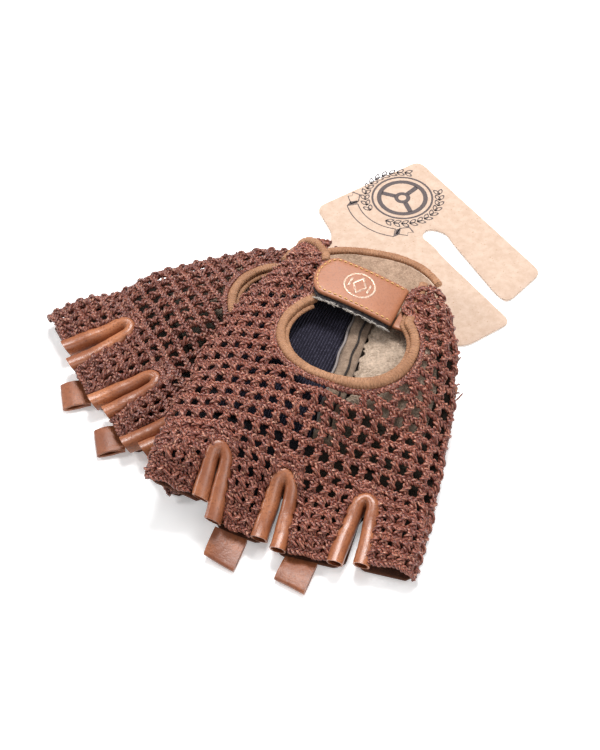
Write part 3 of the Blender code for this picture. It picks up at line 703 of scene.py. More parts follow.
def yarn_finish(name, shade_scale):
    made = Finish(name, Roughness=0.4, Specular_IOR_Level=0.6)
    length, around = made.lay()
    plies = ((around * 3.0 + length * 0.42) * (2 * math.pi)).sine()
    fibre = ((around * 14.0 + length * 1.7) * (2 * math.pi)).sine()
    patches = made.noise(260.0, 3.0, 0.6)
    marl = made.noise(900.0, 2.0, 0.6)
    # Each glove's painted shade scales its yarn colours.
    dark, warm, pale = [tuple(c * shade_scale for c in tone) for tone in YARN_TONES]
    deep = made.blend(patches.over(0.35, 0.68), (*dark, 1), (*warm, 1))
    lit = made.blend(marl.over(0.48, 0.78), deep, (*pale, 1))
    # Painted shade in the grooves between the plies.
    groove_shade = plies.over(-1.0, -0.1)
    made.feed("Base Color", made.blend(groove_shade, YARN_GROOVE_SHADE, lit))
    made.feed("Roughness", 0.28 + marl * 0.3)
    made.relief(plies * 0.6 + fibre * 0.10 + marl * 0.2, 0.00013)
    return made


crochet_cotton = {side: yarn_finish(f"{side}_crochet_cotton", shade_scale) for side, shade_scale in YARN_PAINTED_SHADE.items()}


def show(item, body, slot, finish, *nodes):
    """Fix a piece to its body, give it its finish and say which solids it stands for."""
    item.data.materials.clear()
    for material in (finish if isinstance(finish, (list, tuple)) else (finish,)):
        item.data.materials.append(material.material)
    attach(item, body)
    if nodes:
        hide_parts(*nodes)
    return item


BACKS = {side: Back(side) for side in GLOVES}
for side in GLOVES:
    rng = np.random.default_rng(YARN_SEEDS[side])
    hand = tubes(f"{side}_crochet_hand", crochet_hand(BACKS[side], rng), YARN)
    show(hand, f"{side}_glove", "crochet_brown", crochet_cotton[side], f"{side}_crochet_back")
    bundles = []
    for finger in range(4):
        bundles += crochet_finger(BACKS[side], finger, rng)
    bundles += edging(BACKS[side])
    fingers = tubes(f"{side}_crochet_fingers", bundles, YARN)
    show(fingers, f"{side}_glove", "crochet_brown", crochet_cotton[side])
    ends = tubes(f"{side}_loose_ends", loose_ends(BACKS[side], rng), 0.3, 5, 0.5)
    show(ends, f"{side}_glove", "crochet_brown", crochet_cotton[side])


# ---- Palms ---------------------------------------------------------------------------------------
# One piece of soft tan leather for each palm, cut with the wrist flap and the four finger strips. Its
# suede side is inside: pale at the wrist, and painted near-black as shade under the crochet.
def inside(points, outline):
    """Which points lie within a closed outline."""
    x, y = points[:, :1], points[:, 1:]
    a = outline
    b = np.roll(outline, -1, axis=0)
    spans = (a[None, :, 1] > y) != (b[None, :, 1] > y)
    rise = np.where(np.abs(b[:, 1] - a[:, 1]) < 1e-9, 1e-9, b[:, 1] - a[:, 1])
    crosses = x < (b[:, 0] - a[:, 0]) * (y - a[:, 1]) / rise + a[:, 0]
    return np.sum(spans & crosses, axis=1) % 2 == 1


def to_edge(points, outline):
    """Distance of points from a closed outline."""
    a = outline
    run = np.roll(outline, -1, axis=0) - a
    offset = points[:, None, :] - a[None]
    share = np.clip(np.sum(offset * run, axis=2) / np.maximum(np.sum(run * run, axis=1), 1e-9), 0.0, 1.0)
    return np.min(np.linalg.norm(offset - share[..., None] * run, axis=2), axis=1)


def closed(points, step):
    """A closed outline with a point every step."""
    points = np.asarray(points, float)
    return even_path(np.concatenate((points, points[:1])), step)[:-1]


def sheet(name, outline, step, lower, upper, rim=0.6):
    """A sheet with rounded edges between two surfaces; its underside has the second finish."""
    outline = np.asarray(outline, float)
    run = np.roll(outline, -1, axis=0) - np.roll(outline, 1, axis=0)
    inward = np.stack((-run[:, 1], run[:, 0]), axis=1)
    inward /= np.maximum(np.linalg.norm(inward, axis=1, keepdims=True), 1e-9)
    area = np.sum(outline[:, 0] * np.roll(outline[:, 1], -1) - outline[:, 1] * np.roll(outline[:, 0], -1))
    inward *= np.sign(area)
    grid = []
    for depth in (rim * 0.3, rim):
        ring = outline + inward * depth
        grid.append(ring[inside(ring, outline) & (to_edge(ring, outline) > depth * 0.9)])
    low, high = outline.min(axis=0), outline.max(axis=0)
    field = []
    for k, y in enumerate(np.arange(low[1] + step * 0.6, high[1], step)):
        x = np.arange(low[0] + step * (0.3 + 0.5 * (k % 2)), high[0], step)
        field.append(np.stack((x, np.full(len(x), y)), axis=1))
    field = np.concatenate(field)
    field = field[inside(field, outline)]
    field = field[to_edge(field, outline) > rim + 0.4 * step]
    points = np.concatenate([outline] + grid + [field])
    edges = [(i, (i + 1) % len(outline)) for i in range(len(outline))]
    found = delaunay_2d_cdt([Vector(p) for p in points], edges, [], 1, 1e-7)
    flat = np.array([tuple(p) for p in found[0]])
    faces = np.array([tuple(f) for f in found[2] if len(f) == 3])
    faces = faces[inside(flat[faces].mean(axis=1), outline)]
    depth = np.clip(to_edge(flat, outline) / rim, 0.0, 1.0)
    full = 0.3 + 0.7 * np.sqrt(1.0 - (1.0 - depth) ** 2)
    below, above = lower(flat[:, 0], flat[:, 1]), upper(flat[:, 0], flat[:, 1])
    middle = (below + above) / 2
    below = middle + (below - middle) * full[:, None]
    above = middle + (above - middle) * full[:, None]
    count = len(flat)
    pairs = np.concatenate((faces[:, (0, 1)], faces[:, (1, 2)], faces[:, (2, 0)]))
    known = {(int(a), int(b)) for a, b in pairs}
    rims = np.array([(a, b, b + count, a + count) for a, b in sorted(known) if (b, a) not in known])
    made = [np.concatenate((faces[:, ::-1], faces + count)), rims]
    marks = np.concatenate((np.ones(len(faces)), np.zeros(len(faces) + len(rims))))
    uv = np.concatenate((flat, flat))
    return build_mesh(name, np.concatenate((below, above)), made, vertex_uv=uv, marks=marks)


def leather(name, light, dark, roughness=0.42, wear=60.0, grain=1100.0, coat=0.0, depth=0.00045):
    """Smooth glove leather: fine grain, soft creases, colour a little uneven."""
    made = Finish(name, Specular_IOR_Level=0.5, Coat_Weight=coat, Coat_Roughness=0.35)
    uneven = made.noise(wear, 3.0, 0.55)
    plain = made.blend(uneven.over(0.32, 0.72), (*dark, 1), (*light, 1))
    pores = made.noise(grain, 4.0, 0.6)
    creases = made.noise(wear * 2.6, 5.0, 0.62)
    shade = pores.over(0.25, 0.55)
    darker = tuple(c * 0.72 for c in dark)
    made.feed("Base Color", made.blend(shade, (*darker, 1), plain))
    made.feed("Roughness", roughness + (pores - 0.5) * 0.3)
    made.relief(pores * 0.3 + creases, depth)
    return made


def suede(name, light, dark, scale=1500.0, depth=0.0006):
    """Brushed hide: short nap standing in tufts."""
    made = Finish(name, Roughness=0.95, Specular_IOR_Level=0.15, Sheen_Weight=0.15)
    nap = made.noise(scale, 4.0, 0.7)
    tufts = made.noise(scale * 0.28, 3.0, 0.6)
    patches = made.noise(60.0, 2.0, 0.5)
    tone = nap * 0.55 + tufts * 0.35 + patches * 0.25
    made.feed("Base Color", made.blend(tone.over(0.38, 0.78), (*dark, 1), (*light, 1)))
    made.relief(nap + tufts * 0.8, depth)
    return made


PALM_SIDE = 48.8
PALM_GAP = 1.6


def palm_wrist(grow):
    """Wrist edge of the palm, little side to index side."""
    half = np.interp(22.0, HALF_WIDTH_ALONG, HALF_WIDTH) - 1.5
    turn = np.linspace(-1.0, 1.0, 61)
    along = 5.0 + 17.0 * np.abs(turn) ** 2.8 - 1.5 * turn
    return np.stack((half * turn * (1 + grow / half), along - grow * (1 - np.abs(turn) ** 6)), axis=1)


def finger_sides(finger):
    """Across limits of one finger strip of the palm."""
    low = -PALM_SIDE if finger == 0 else CROTCH_ACROSS[finger - 1] + PALM_GAP
    high = PALM_SIDE if finger == 3 else CROTCH_ACROSS[finger] - PALM_GAP
    return low, high


def palm_outline():
    outline = [tuple(p) for p in palm_wrist(0.0)]
    outline += [(np.interp(v, HALF_WIDTH_ALONG, HALF_WIDTH) + 0.3, v) for v in np.arange(28.0, 130.0, 6.0)]
    for finger in (3, 2, 1, 0):
        low, high = finger_sides(finger)
        end = FINGER_END[finger] - 1.5
        outline += [(high, end - 3.0), (high - 3.0, end), (low + 3.0, end), (low, end - 3.0)]
        if finger > 0:
            start = CROTCH_ALONG[finger - 1] + 2.5
            next_high = finger_sides(finger - 1)[1]
            outline += [(low, start + 3.0), ((low + next_high) / 2, start), (next_high, start + 3.0)]
    outline += [(-np.interp(v, HALF_WIDTH_ALONG, HALF_WIDTH) - 0.3, v) for v in np.arange(120.0, 26.0, -6.0)]
    return closed(outline, 1.6)


def palm_inside(name, start):
    made = suede(name, (0.56, 0.38, 0.27), (0.25, 0.155, 0.10))
    across, along = made.lay()
    pale = made.shader.inputs["Base Color"].links[0].from_socket
    # Painted shade: from the given place along, the suede side is painted near-black where the crochet
    # shades it, tinted navy toward the little side and brown toward the index side, easing to dark brown
    # toward the open finger ends.
    suede_painted_shade = made.blend(across.over(-6.0, 8.0), (0.008, 0.006, 0.010, 1), (0.026, 0.018, 0.012, 1))
    deep = (along + made.noise(90.0) * 8.0).over(start, start + 8.0)
    ends = made.blend(along.over(124.0, 129.0), suede_painted_shade, (0.13, 0.050, 0.028, 1))
    made.feed("Base Color", made.blend(deep, Value(made, pale), ends))
    return made


TAN = (0.40, 0.150, 0.064)
TAN_DARK = (0.23, 0.072, 0.030)
palm_leather = leather("palm_leather", TAN, TAN_DARK)
# Where along the painted shade inside each palm begins.
INSIDE_SHADE_START = {"left": 66.0, "right": 44.0}
palm_suede = {side: palm_inside(f"{side}_suede_side", start) for side, start in INSIDE_SHADE_START.items()}
for side in GLOVES:
    palm = sheet(f"{side}_palm", palm_outline(), 2.4,
                 lambda a, v: place(side, a, v, 0.0), lambda a, v: place(side, a, v, PALM_THICK), 0.7)
    show(palm, f"{side}_glove", "leather_tan", (palm_suede[side], palm_leather), f"{side}_palm_panel")


# ---- Strips between the fingers ------------------------------------------------------------------
# Folded strips of glazed tan leather lining each gap, puffed where they turn round the crotch. Their
# ends are left raw, and show the pale cut edge and the inside, painted near-black as shade.
STRIPS = ("little_ring", "ring_middle", "middle_index")


def ring_grid(rings, sides):
    """Point numbers of closed rings, the same turned by one, and the faces between the rings."""
    index = np.arange(rings * sides).reshape(rings, sides)
    turned = np.roll(index, -1, axis=1)
    quads = np.stack((index[:-1], turned[:-1], turned[1:], index[1:]), axis=-1).reshape(-1, 4)
    return index, turned, quads


def end_rims(index, turned):
    """Faces that join an outer and an inner shell round both ends."""
    inner = index.size
    rims = []
    for row, order in ((0, -1), (-1, 1)):
        edge = np.stack((index[row], turned[row], turned[row] + inner, index[row] + inner), axis=-1)
        rims.append(edge[:, ::order])
    return np.concatenate(rims)


def roll(name, side, path, widths, heights, sides=20, power=2.0, wall=0.0, bumps=None, cut_slant=0.0):
    """Oval roll along a path of (across, along, up) places; a wall makes it hollow and open at the ends."""
    path = np.asarray(path, float)
    count = len(path)
    run = np.gradient(path, axis=0)
    level = np.stack((run[:, 1], -run[:, 0]), axis=1) / np.hypot(run[:, 0], run[:, 1])[:, None]
    angle = 2 * math.pi * (np.arange(sides) + 0.5) / sides
    out = signed_power(np.cos(angle), 2.0 / power)
    rise = signed_power(np.sin(angle), 2.0 / power)
    length = length_along(path)
    shells = []
    for cut in ((0.0, wall) if wall else (0.0,)):
        wide = (np.asarray(widths) / 2 - cut)[:, None] * out[None]
        tall = (np.asarray(heights) / 2 - cut)[:, None] * rise[None]
        if bumps is not None and not cut:
            swell = bumps(length[:, None], angle[None])
            wide, tall = wide * (1 + swell), tall * (1 + swell * 0.6)
        from_end = np.minimum(length, length[-1] - length)
        slant = cut_slant * np.clip(1.0 - from_end / 3.0, 0.0, 1.0)[:, None] * tall
        spot = place(side, path[:, :1] + level[:, :1] * wide, path[:, 1:2] + level[:, 1:] * wide + slant,
                     path[:, 2:] + tall)
        shells.append(spot.reshape(-1, 3))
    index, turned, quads = ring_grid(count, sides)
    uv = np.stack(np.broadcast_arrays(length[:, None], (np.arange(sides) / sides)[None]), axis=-1)
    uv = uv.reshape(-1, 2)
    if not wall:
        caps = np.stack((index[0, ::-1], index[-1]))
        return build_mesh(name, shells[0], [quads, caps], vertex_uv=uv)
    rims = end_rims(index, turned)
    made = np.concatenate((quads, quads[:, ::-1] + index.size, rims))
    marks = np.repeat((0, 1, 2), (len(quads), len(quads), len(rims)))
    uv = np.concatenate((uv, uv))
    return build_mesh(name, np.concatenate(shells), [made], vertex_uv=uv, marks=marks, sharp=60)


def strip_path(crotch):
    left_edge = FINGER_CENTRE[crotch] + FINGER_HALF[crotch] - 0.6
    right_edge = FINGER_CENTRE[crotch + 1] - FINGER_HALF[crotch + 1] + 0.6
    start = CROTCH_ALONG[crotch]
    ends = (FINGER_END[crotch], FINGER_END[crotch + 1])
    middle = (left_edge + right_edge) / 2
    reach = (right_edge - left_edge) / 2 - 2.75
    fold = start + 6.0
    near, far = ((-0.55, -0.45), (-0.40, 0.30), (-0.25, 1.00))[crotch]

    def spread(v):
        return reach + near + (far - near) * smooth((v - fold) / 16.0)

    path = [(middle - spread(v), v) for v in np.linspace(ends[0] - 0.2, fold, 24)]
    turn = np.linspace(0, math.pi, 22)[1:-1]
    path += [(middle - spread(fold) * math.cos(t), fold - 4.2 * math.sin(t)) for t in turn]
    path += [(middle + spread(v), v) for v in np.linspace(fold, ends[1] - 0.2, 24)]
    path = even_path(path, 0.6)
    for _ in range(4):
        path[1:-1] = path[1:-1] * 0.5 + (path[:-2] + path[2:]) * 0.25
    return path, start


strip_leather = leather("strip_leather", (0.46, 0.168, 0.070), (0.26, 0.080, 0.033),
                        0.34, 55.0, 1500.0, 0.35, 0.0003)
raw_edge = suede("raw_leather_edge", (0.62, 0.52, 0.42), (0.26, 0.19, 0.14), 1800.0, 0.0003)
# Painted shade: the insides of the hollow strips and of the thumb sleeve are painted near-black.
painted_shade_inside = suede("strip_inside", (0.085, 0.055, 0.040), (0.030, 0.020, 0.016), 1500.0, 0.0003)
for side in GLOVES:
    for crotch, label in enumerate(STRIPS):
        path, start = strip_path(crotch)
        away = smooth((path[:, 1] - start - 3.0) / 16.0)
        beyond = path[:, 1] - start
        top = 12.6 - 2.6 * smooth((beyond - 1.0) / 13.0) - 1.4 * smooth((beyond - 12.0) / 14.0)
        points = np.concatenate((path, ((top + 1.7) / 2)[:, None]), axis=1)
        widths = 5.2 + 0.7 * away
        phase = crotch * 2.1 + (0.9 if side == "left" else 0.0)

        def bumps(length, angle, phase=phase):
            return (0.030 * np.sin(length * 0.45 + 1.2 * np.sin(angle) + phase)
                    + 0.010 * np.sin(length * 1.6 - 2.0 * np.cos(angle) + 2 * phase))

        strip = roll(f"{side}_strip_{label}", side, points, widths, top - 1.7, 28, 2.5, 0.6, bumps, 0.42)
        show(strip, f"{side}_glove", "leather_tan", (strip_leather, painted_shade_inside, raw_edge),
             f"{side}_fourchette_{label}")


# ---- Thumb sleeves -------------------------------------------------------------------------------
# A short flattened leather sleeve for the thumb, open at both ends, folded flat under the palm.
for side in GLOVES:
    rings, sides = 22, 48
    share = np.linspace(0.0, 1.0, rings)
    angle = 2 * math.pi * (np.arange(sides) + 0.5) / sides
    shape = signed_power(np.cos(angle), 0.55)
    rise = signed_power(np.sin(angle), 0.35)
    shells = []
    for wall in (0.0, 1.0):
        along = THUMB_CENTRE[1] - THUMB_SIZE[1] / 2 + THUMB_SIZE[1] * share[:, None]
        half = THUMB_SIZE[0] / 2 - 1.5 * share[:, None] - wall * 1.4
        up = THUMB_THICK / 2 + (THUMB_THICK / 2 - wall) * rise[None]
        shells.append(place_flat(side, THUMB_CENTRE[0] + half * shape[None], along, up).reshape(-1, 3))
    index, turned, quads = ring_grid(rings, sides)
    rims = end_rims(index, turned)
    faces = np.concatenate((quads, quads[:, ::-1] + index.size, rims))
    marks = np.repeat((0, 1, 2), (len(quads), len(quads), len(rims)))
    uv = np.stack(np.broadcast_arrays(share[:, None] * THUMB_SIZE[1], angle[None] * 5.0), axis=-1)
    uv = uv.reshape(-1, 2)
    thumb = build_mesh(f"{side}_thumb", np.concatenate(shells), [faces],
                       vertex_uv=np.concatenate((uv, uv)), marks=marks)
    show(thumb, f"{side}_glove", "leather_tan", (palm_leather, painted_shade_inside, raw_edge), f"{side}_thumb_stall")


# ---- Bindings ------------------------------------------------------------------------------------
# Narrow strips of dull tan leather folded over the wrist edge of the palm, and over the edge of the
# crochet down the lobes and round the keyhole. Turned in twice and topstitched, so a second edge shows.
def binding_finish():
    made = leather("binding_leather", (0.46, 0.230, 0.120), (0.33, 0.150, 0.072), 0.6, 110.0, 1500.0)
    length, around = made.lay()
    gathers = (length * 5.2 + made.noise(500.0) * 5.0).sine() * 0.35 + made.noise(1300.0, 4.0) * 0.8
    made.relief(gathers, 0.00035)
    return made


def edge_wave(length, angle):
    return 0.04 * np.sin(length * 0.55 + 1.0) + 0.03 * np.sin(length * 1.9 + angle)


def bind(side, label, points, size, sides, power, *nodes):
    """A binding of one width and height along a path."""
    wide, tall = (np.full(len(points), measure) for measure in size)
    binding = roll(f"{side}_{label}", side, points, wide, tall, sides, power, 0.0, edge_wave)
    show(binding, f"{side}_glove", "leather_tan", binding_leather, *nodes)


binding_leather = binding_finish()
for side in GLOVES:
    path = even_path(palm_wrist(1.65), 1.0)[2:-9]
    wave = 0.5 * np.sin(path[:, 0] * 0.21 + 1.3)
    points = np.stack((path[:, 0], path[:, 1], PALM_THICK / 2 + 0.5 + 0.2 * wave), axis=1)
    bind(side, "wrist_edge", points, (3.0, 2.2), 16, 2.4, f"{side}_wrist_binding")
    edge = even_path(keyhole_edge(0.25, SLIT_LEFT - 0.4, SLIT_RIGHT + 0.4), 0.8)
    top = top_of_back(side, edge[:, 0], edge[:, 1])
    tucked = 1.8 * (1.0 - smooth((edge[:, 1] - 37.0) / 6.0))
    points = np.stack((edge[:, 0], edge[:, 1], top + 0.15 - tucked), axis=1)
    bind(side, "keyhole_edge", points, (3.4, 2.7), 18, 2.6, f"{side}_keyhole_binding")
    lobe = lobe_line(0.0)
    points = np.stack((lobe[:, 0], lobe[:, 1], top_of_back(side, lobe[:, 0], lobe[:, 1]) + 0.5), axis=1)
    bind(side, "lobe_edge", points, (3.2, 2.6), 16, 2.4)
    edge = even_path(keyhole_edge(-1.7, SLIT_LEFT + 1.7, SLIT_RIGHT - 1.7), 0.8)[32:-10]
    top = top_of_back(side, edge[:, 0], edge[:, 1])
    points = np.stack((edge[:, 0], edge[:, 1], top - 1.3), axis=1)
    bind(side, "keyhole_turning", points, (2.2, 1.5), 12, 2.2)


# ---- Closing tabs --------------------------------------------------------------------------------
# A strap of smooth tan leather sewn under the index-side lobe, with hook tape on its underside that
# grips loop tape on the other lobe. Gold thread runs round it, and a foil ring and diamond mark it.
TAB_FREE = (-15.0, 33.0)
TAB_HINGE = (17.8, 37.2)
TAB_WIDTH = 19.0
TAB_THICK = 1.8
TAPE_THICK = 1.1
TAPE_GAP = 0.35
TAB_LENGTH = math.hypot(TAB_HINGE[0] - TAB_FREE[0], TAB_HINGE[1] - TAB_FREE[1])
TAB_RUN = ((TAB_HINGE[0] - TAB_FREE[0]) / TAB_LENGTH, (TAB_HINGE[1] - TAB_FREE[1]) / TAB_LENGTH)


def strap_place(side, s, t, up):
    """Points on the strap: s from the free end, t across it towards the fingers, up off its underside."""
    s, t = np.asarray(s, float), np.asarray(t, float)
    share = np.clip(s / TAB_LENGTH, 0.0, 1.3)
    high = top_of_back(side, *TAB_FREE) + BACK_THICK / 2 + 2 * TAPE_THICK + 4 * TAPE_GAP + 0.2
    low = top_of_back(side, *TAB_HINGE) - BACK_THICK / 2 - 0.6
    middle = high + (low - high) * share ** 1.8
    across, along = TAB_FREE[0] + TAB_RUN[0] * s, TAB_FREE[1] + TAB_RUN[1] * s
    height = place(side, across, along, 0.0)[..., 2] + middle + up
    x, y = to_table(side, across - TAB_RUN[1] * t, along + TAB_RUN[0] * t)
    return np.stack(np.broadcast_arrays(x, y, height), axis=-1)


def strap_outline(nose, start, end, half):
    """Outline of the strap or its tape: rounded free end, straight sides."""
    angles = np.linspace(0.5, 1.5, 25) * math.pi
    points = [(start + nose * (1 + math.cos(a)), half * math.sin(a)) for a in angles]
    points += [(end, -half), (end, half)]
    return points


def stitches(name, points, up, length, gap, radius, sink=0.12):
    """A row of stitches laid along a path of points in space."""
    points = np.asarray(points, float)
    run = length_along(points)
    starts = np.arange(gap, run[-1] - length, length + gap)
    where = starts[:, None] + np.linspace(0.0, length, 5)[None]
    lines = np.stack([np.interp(where, run, points[:, k]) for k in range(3)], axis=-1)
    arc = np.array((-sink, radius * 0.7, radius, radius * 0.7, -sink))
    lines = lines + np.asarray(up)[None, None] * arc[None, :, None]
    return tubes(name, [(lines, np.broadcast_to(np.asarray(up, float), lines.shape))], radius, 6, 0.6)


tab_leather = leather("tab_leather", (0.42, 0.162, 0.078), (0.35, 0.126, 0.056),
                      0.45, 38.0, 1700.0, 0.0, 0.00018)
gold_thread = Finish("gold_thread", Roughness=0.35, Specular_IOR_Level=0.7,
                     Base_Color=(0.72, 0.42, 0.14, 1))
foil = Finish("foil_mark", Roughness=0.35, Metallic=0.35)
foil_flake = foil.noise(2200.0, 3.0, 0.7).over(0.40, 0.60)
foil.feed("Base Color", foil.blend(foil_flake, (0.55, 0.26, 0.15, 1), (0.86, 0.70, 0.58, 1)))
tape_black = Finish("hook_tape", Roughness=0.8)
tape_black.feed("Base Color", tape_black.blend(tape_black.noise(1900.0, 3.0).over(0.4, 0.75),
                                               (0.008, 0.006, 0.009, 1), (0.075, 0.06, 0.062, 1)))
tape_black.relief(tape_black.noise(2500.0, 3.0, 0.7), 0.0007)
frayed = Finish("frayed_edge", Roughness=0.8, Base_Color=(0.55, 0.50, 0.45, 1))
half = TAB_WIDTH / 2
for side in GLOVES:
    body = "right_tab" if side == "right" else "left_glove"
    outline = closed(strap_outline(6.5, 0.0, TAB_LENGTH, half), 1.0)
    tab = sheet(f"{side}_tab", outline, 1.8, lambda s, t: strap_place(side, s, t, 0.0),
                lambda s, t: strap_place(side, s, t, TAB_THICK), 0.7)
    show(tab, body, "leather_tan", (tab_leather, palm_leather), f"{side}_wrist_tab")
    hooks = closed([(s, t + 1.0) for s, t in strap_outline(6.0, 0.6, TAB_LENGTH - 1.2, half + 0.2)], 1.0)
    tape = sheet(f"{side}_hook_tape", hooks, 2.0,
                 lambda s, t: strap_place(side, s, t, -TAPE_GAP - TAPE_THICK),
                 lambda s, t: strap_place(side, s, t, -0.1), 0.3)
    show(tape, body, "tape_black", (tape_black, tape_black), f"{side}_tab_hook_patch")
    nose = strap_outline(5.4, 1.3, TAB_LENGTH - 0.4, half - 1.3)
    seam = even_path([nose[-1]] + nose[:-1], 0.5)
    line = strap_place(side, seam[:, 0], seam[:, 1], TAB_THICK + 0.02)
    run_up = np.array((0.0, 0.0, 1.0))
    sewing = stitches(f"{side}_tab_stitches", line, run_up, 1.35, 0.75, 0.24)
    show(sewing, body, "leather_tan", gold_thread)
    rng = np.random.default_rng(12)
    count = 150
    s = rng.uniform(3.0, TAB_LENGTH - 1.0, count)
    lengths = rng.uniform(0.5, 2.4, count)
    ease = np.linspace(0.0, 1.0, 5)
    t = half + 1.15 + rng.uniform(-0.1, 0.35, count)[:, None]
    t = t + rng.uniform(-0.2, 0.5, count)[:, None] * ease ** 2
    drop = rng.uniform(-1.2, -0.2, count)[:, None] + rng.uniform(-0.3, 0.3, count)[:, None] * ease
    lines = strap_place(side, s[:, None] + lengths[:, None] * ease, t, drop)
    fibres = tubes(f"{side}_tape_fray", [(lines, np.broadcast_to(run_up, lines.shape))], 0.13, 4)
    show(fibres, body, "tape_black", frayed)


def band_quads(count, joined=True):
    """Faces between four rows of points, such as a thin raised band has."""
    ring = np.arange(count if joined else count - 1)
    following = (ring + 1) % count
    quads = []
    for low in (0, count, 2 * count):
        high = low + count
        quads.append(np.stack((ring + low, following + low, following + high, ring + high), axis=-1))
    return np.concatenate(quads)


def foil_mark(side):
    """Ring with a diamond and two bars, foil pressed into the strap."""
    parts, faces, base = [], [], 0

    def band(outer, inner):
        nonlocal base
        outer, inner = np.asarray(outer), np.asarray(inner)
        count = len(outer)
        for flat, up in ((outer, 0.0), (outer, 0.11), (inner, 0.11), (inner, 0.0)):
            parts.append(strap_place(side, flat[:, 0], flat[:, 1], TAB_THICK + up - 0.03))
        faces.append(base + band_quads(count))
        base += 4 * count

    middle = np.array((17.0, -0.4))
    angle = np.linspace(0, 2 * math.pi, 73)[:-1]
    circle = np.stack((np.cos(angle), np.sin(angle)), axis=1)
    band(middle + circle * 6.0, middle + circle * 5.2)
    diamond = np.array(((0, -1), (0.62, 0), (0, 1), (-0.62, 0)), float)
    band(middle + diamond * 4.6, middle + diamond * 3.2)
    for shift in (-3.6, 3.6):
        corners = np.array(((-0.35, -2.2), (0.35, -2.2), (0.35, 2.2), (-0.35, 2.2)))
        band(middle + corners + (shift, 0), middle + corners * 0.3 + (shift, 0))
    return build_mesh(f"{side}_tab_mark", np.concatenate(parts), [np.concatenate(faces)])


for side in GLOVES:
    show(foil_mark(side), "right_tab" if side == "right" else "left_glove", "leather_tan", foil)


# ---- Tab anchors and loop tapes ------------------------------------------------------------------
# The sewn-down end of the strap, glimpsed through the crochet, and the fuzzy loop tape stitched to the
# little-side lobe, where its black shows between the yarns.
for side in GLOVES:
    def anchor_at(s, t, up):
        across = TAB_HINGE[0] + TAB_RUN[0] * s - TAB_RUN[1] * t
        along = TAB_HINGE[1] + TAB_RUN[1] * s + TAB_RUN[0] * t
        return place(side, across, along, top_of_back(side, across, along) - BACK_THICK / 2 - 1.0 + up)

    outline = closed([(0.2, -8.6), (10.0, -8.6), (10.0, 8.6), (0.2, 8.6)], 1.0)
    anchor = sheet(f"{side}_anchor", outline, 2.0, lambda s, t: anchor_at(s, t, -1.2),
                   lambda s, t: anchor_at(s, t, 0.0), 0.5)
    show(anchor, f"{side}_glove", "leather_tan", (tab_leather, palm_leather), f"{side}_tab_anchor")
    outline = closed([(-24.5, 24.5), (-15.8, 23.8), (-15.8, 41.5), (-24.5, 42.0)], 1.0)
    strip = sheet(f"{side}_loop_tape", outline, 2.0,
                  lambda a, v: place(side, a, v, top_of_back(side, a, v) - 1.7),
                  lambda a, v: place(side, a, v, top_of_back(side, a, v) - 0.7), 0.4)
    show(strip, f"{side}_glove", "tape_black", (tape_black, tape_black), f"{side}_loop_strip")


# ---- Inside the hand -----------------------------------------------------------------------------
# Seen through the keyhole: a ribbed navy patch, the folded strip along the inside seam, and a rough
# beige suede patch with a torn-looking edge.
def pad(side, name, outline, rise, thick, step, seed):
    outline = np.asarray(outline, float)
    low, high = outline.min(axis=0), outline.max(axis=0)
    rng = np.random.default_rng(seed)
    waves = [(rng.uniform(0.1, 0.5), rng.uniform(0.1, 0.5), rng.uniform(0, 6)) for _ in range(6)]

    def level(across, along):
        u = np.clip((across - low[0]) / (high[0] - low[0]), 0, 1)
        v = np.clip((along - low[1]) / (high[1] - low[1]), 0, 1)
        ripple = sum(np.sin(across * a + along * b + c) for a, b, c in waves) * 0.14
        return PALM_THICK + 0.7 + (rise + ripple) * np.sin(math.pi * u) * np.sin(math.pi * v)

    return sheet(name, outline, step, lambda a, v: place(side, a, v, level(a, v)),
                 lambda a, v: place(side, a, v, level(a, v) + thick), 0.6)


def navy_finish():
    made = Finish("navy_ribbed_knit", Roughness=0.9, Specular_IOR_Level=0.2)
    across, along = made.lay()
    ribs = ((across * 1.0 + along * 0.08) * (2 * math.pi / 1.05)).sine()
    slubs = made.noise(1700.0, 3.0, 0.7)
    cross = (along * (2 * math.pi / 0.55)).sine()
    tone = (ribs * 0.12 + slubs * 1.0 + cross * 0.05).over(0.40, 0.95)
    made.feed("Base Color", made.blend(tone, (0.012, 0.010, 0.020, 1), (0.100, 0.095, 0.140, 1)))
    made.relief(ribs * 0.6 + slubs * 0.8 + cross * 0.15, 0.0005)
    return made


def rough_suede():
    made = suede("rough_suede", (0.72, 0.55, 0.42), (0.25, 0.175, 0.12), 950.0, 0.0014)
    across, along = made.lay()
    pale = made.shader.inputs["Base Color"].links[0].from_socket
    # Painted shade: past the keyhole, where the crochet covers the patch, it is painted near-black.
    crochet_painted_shade = along.over(77.0, 84.0)
    made.feed("Base Color", made.blend(crochet_painted_shade, Value(made, pale), (0.045, 0.036, 0.024, 1)))
    return made


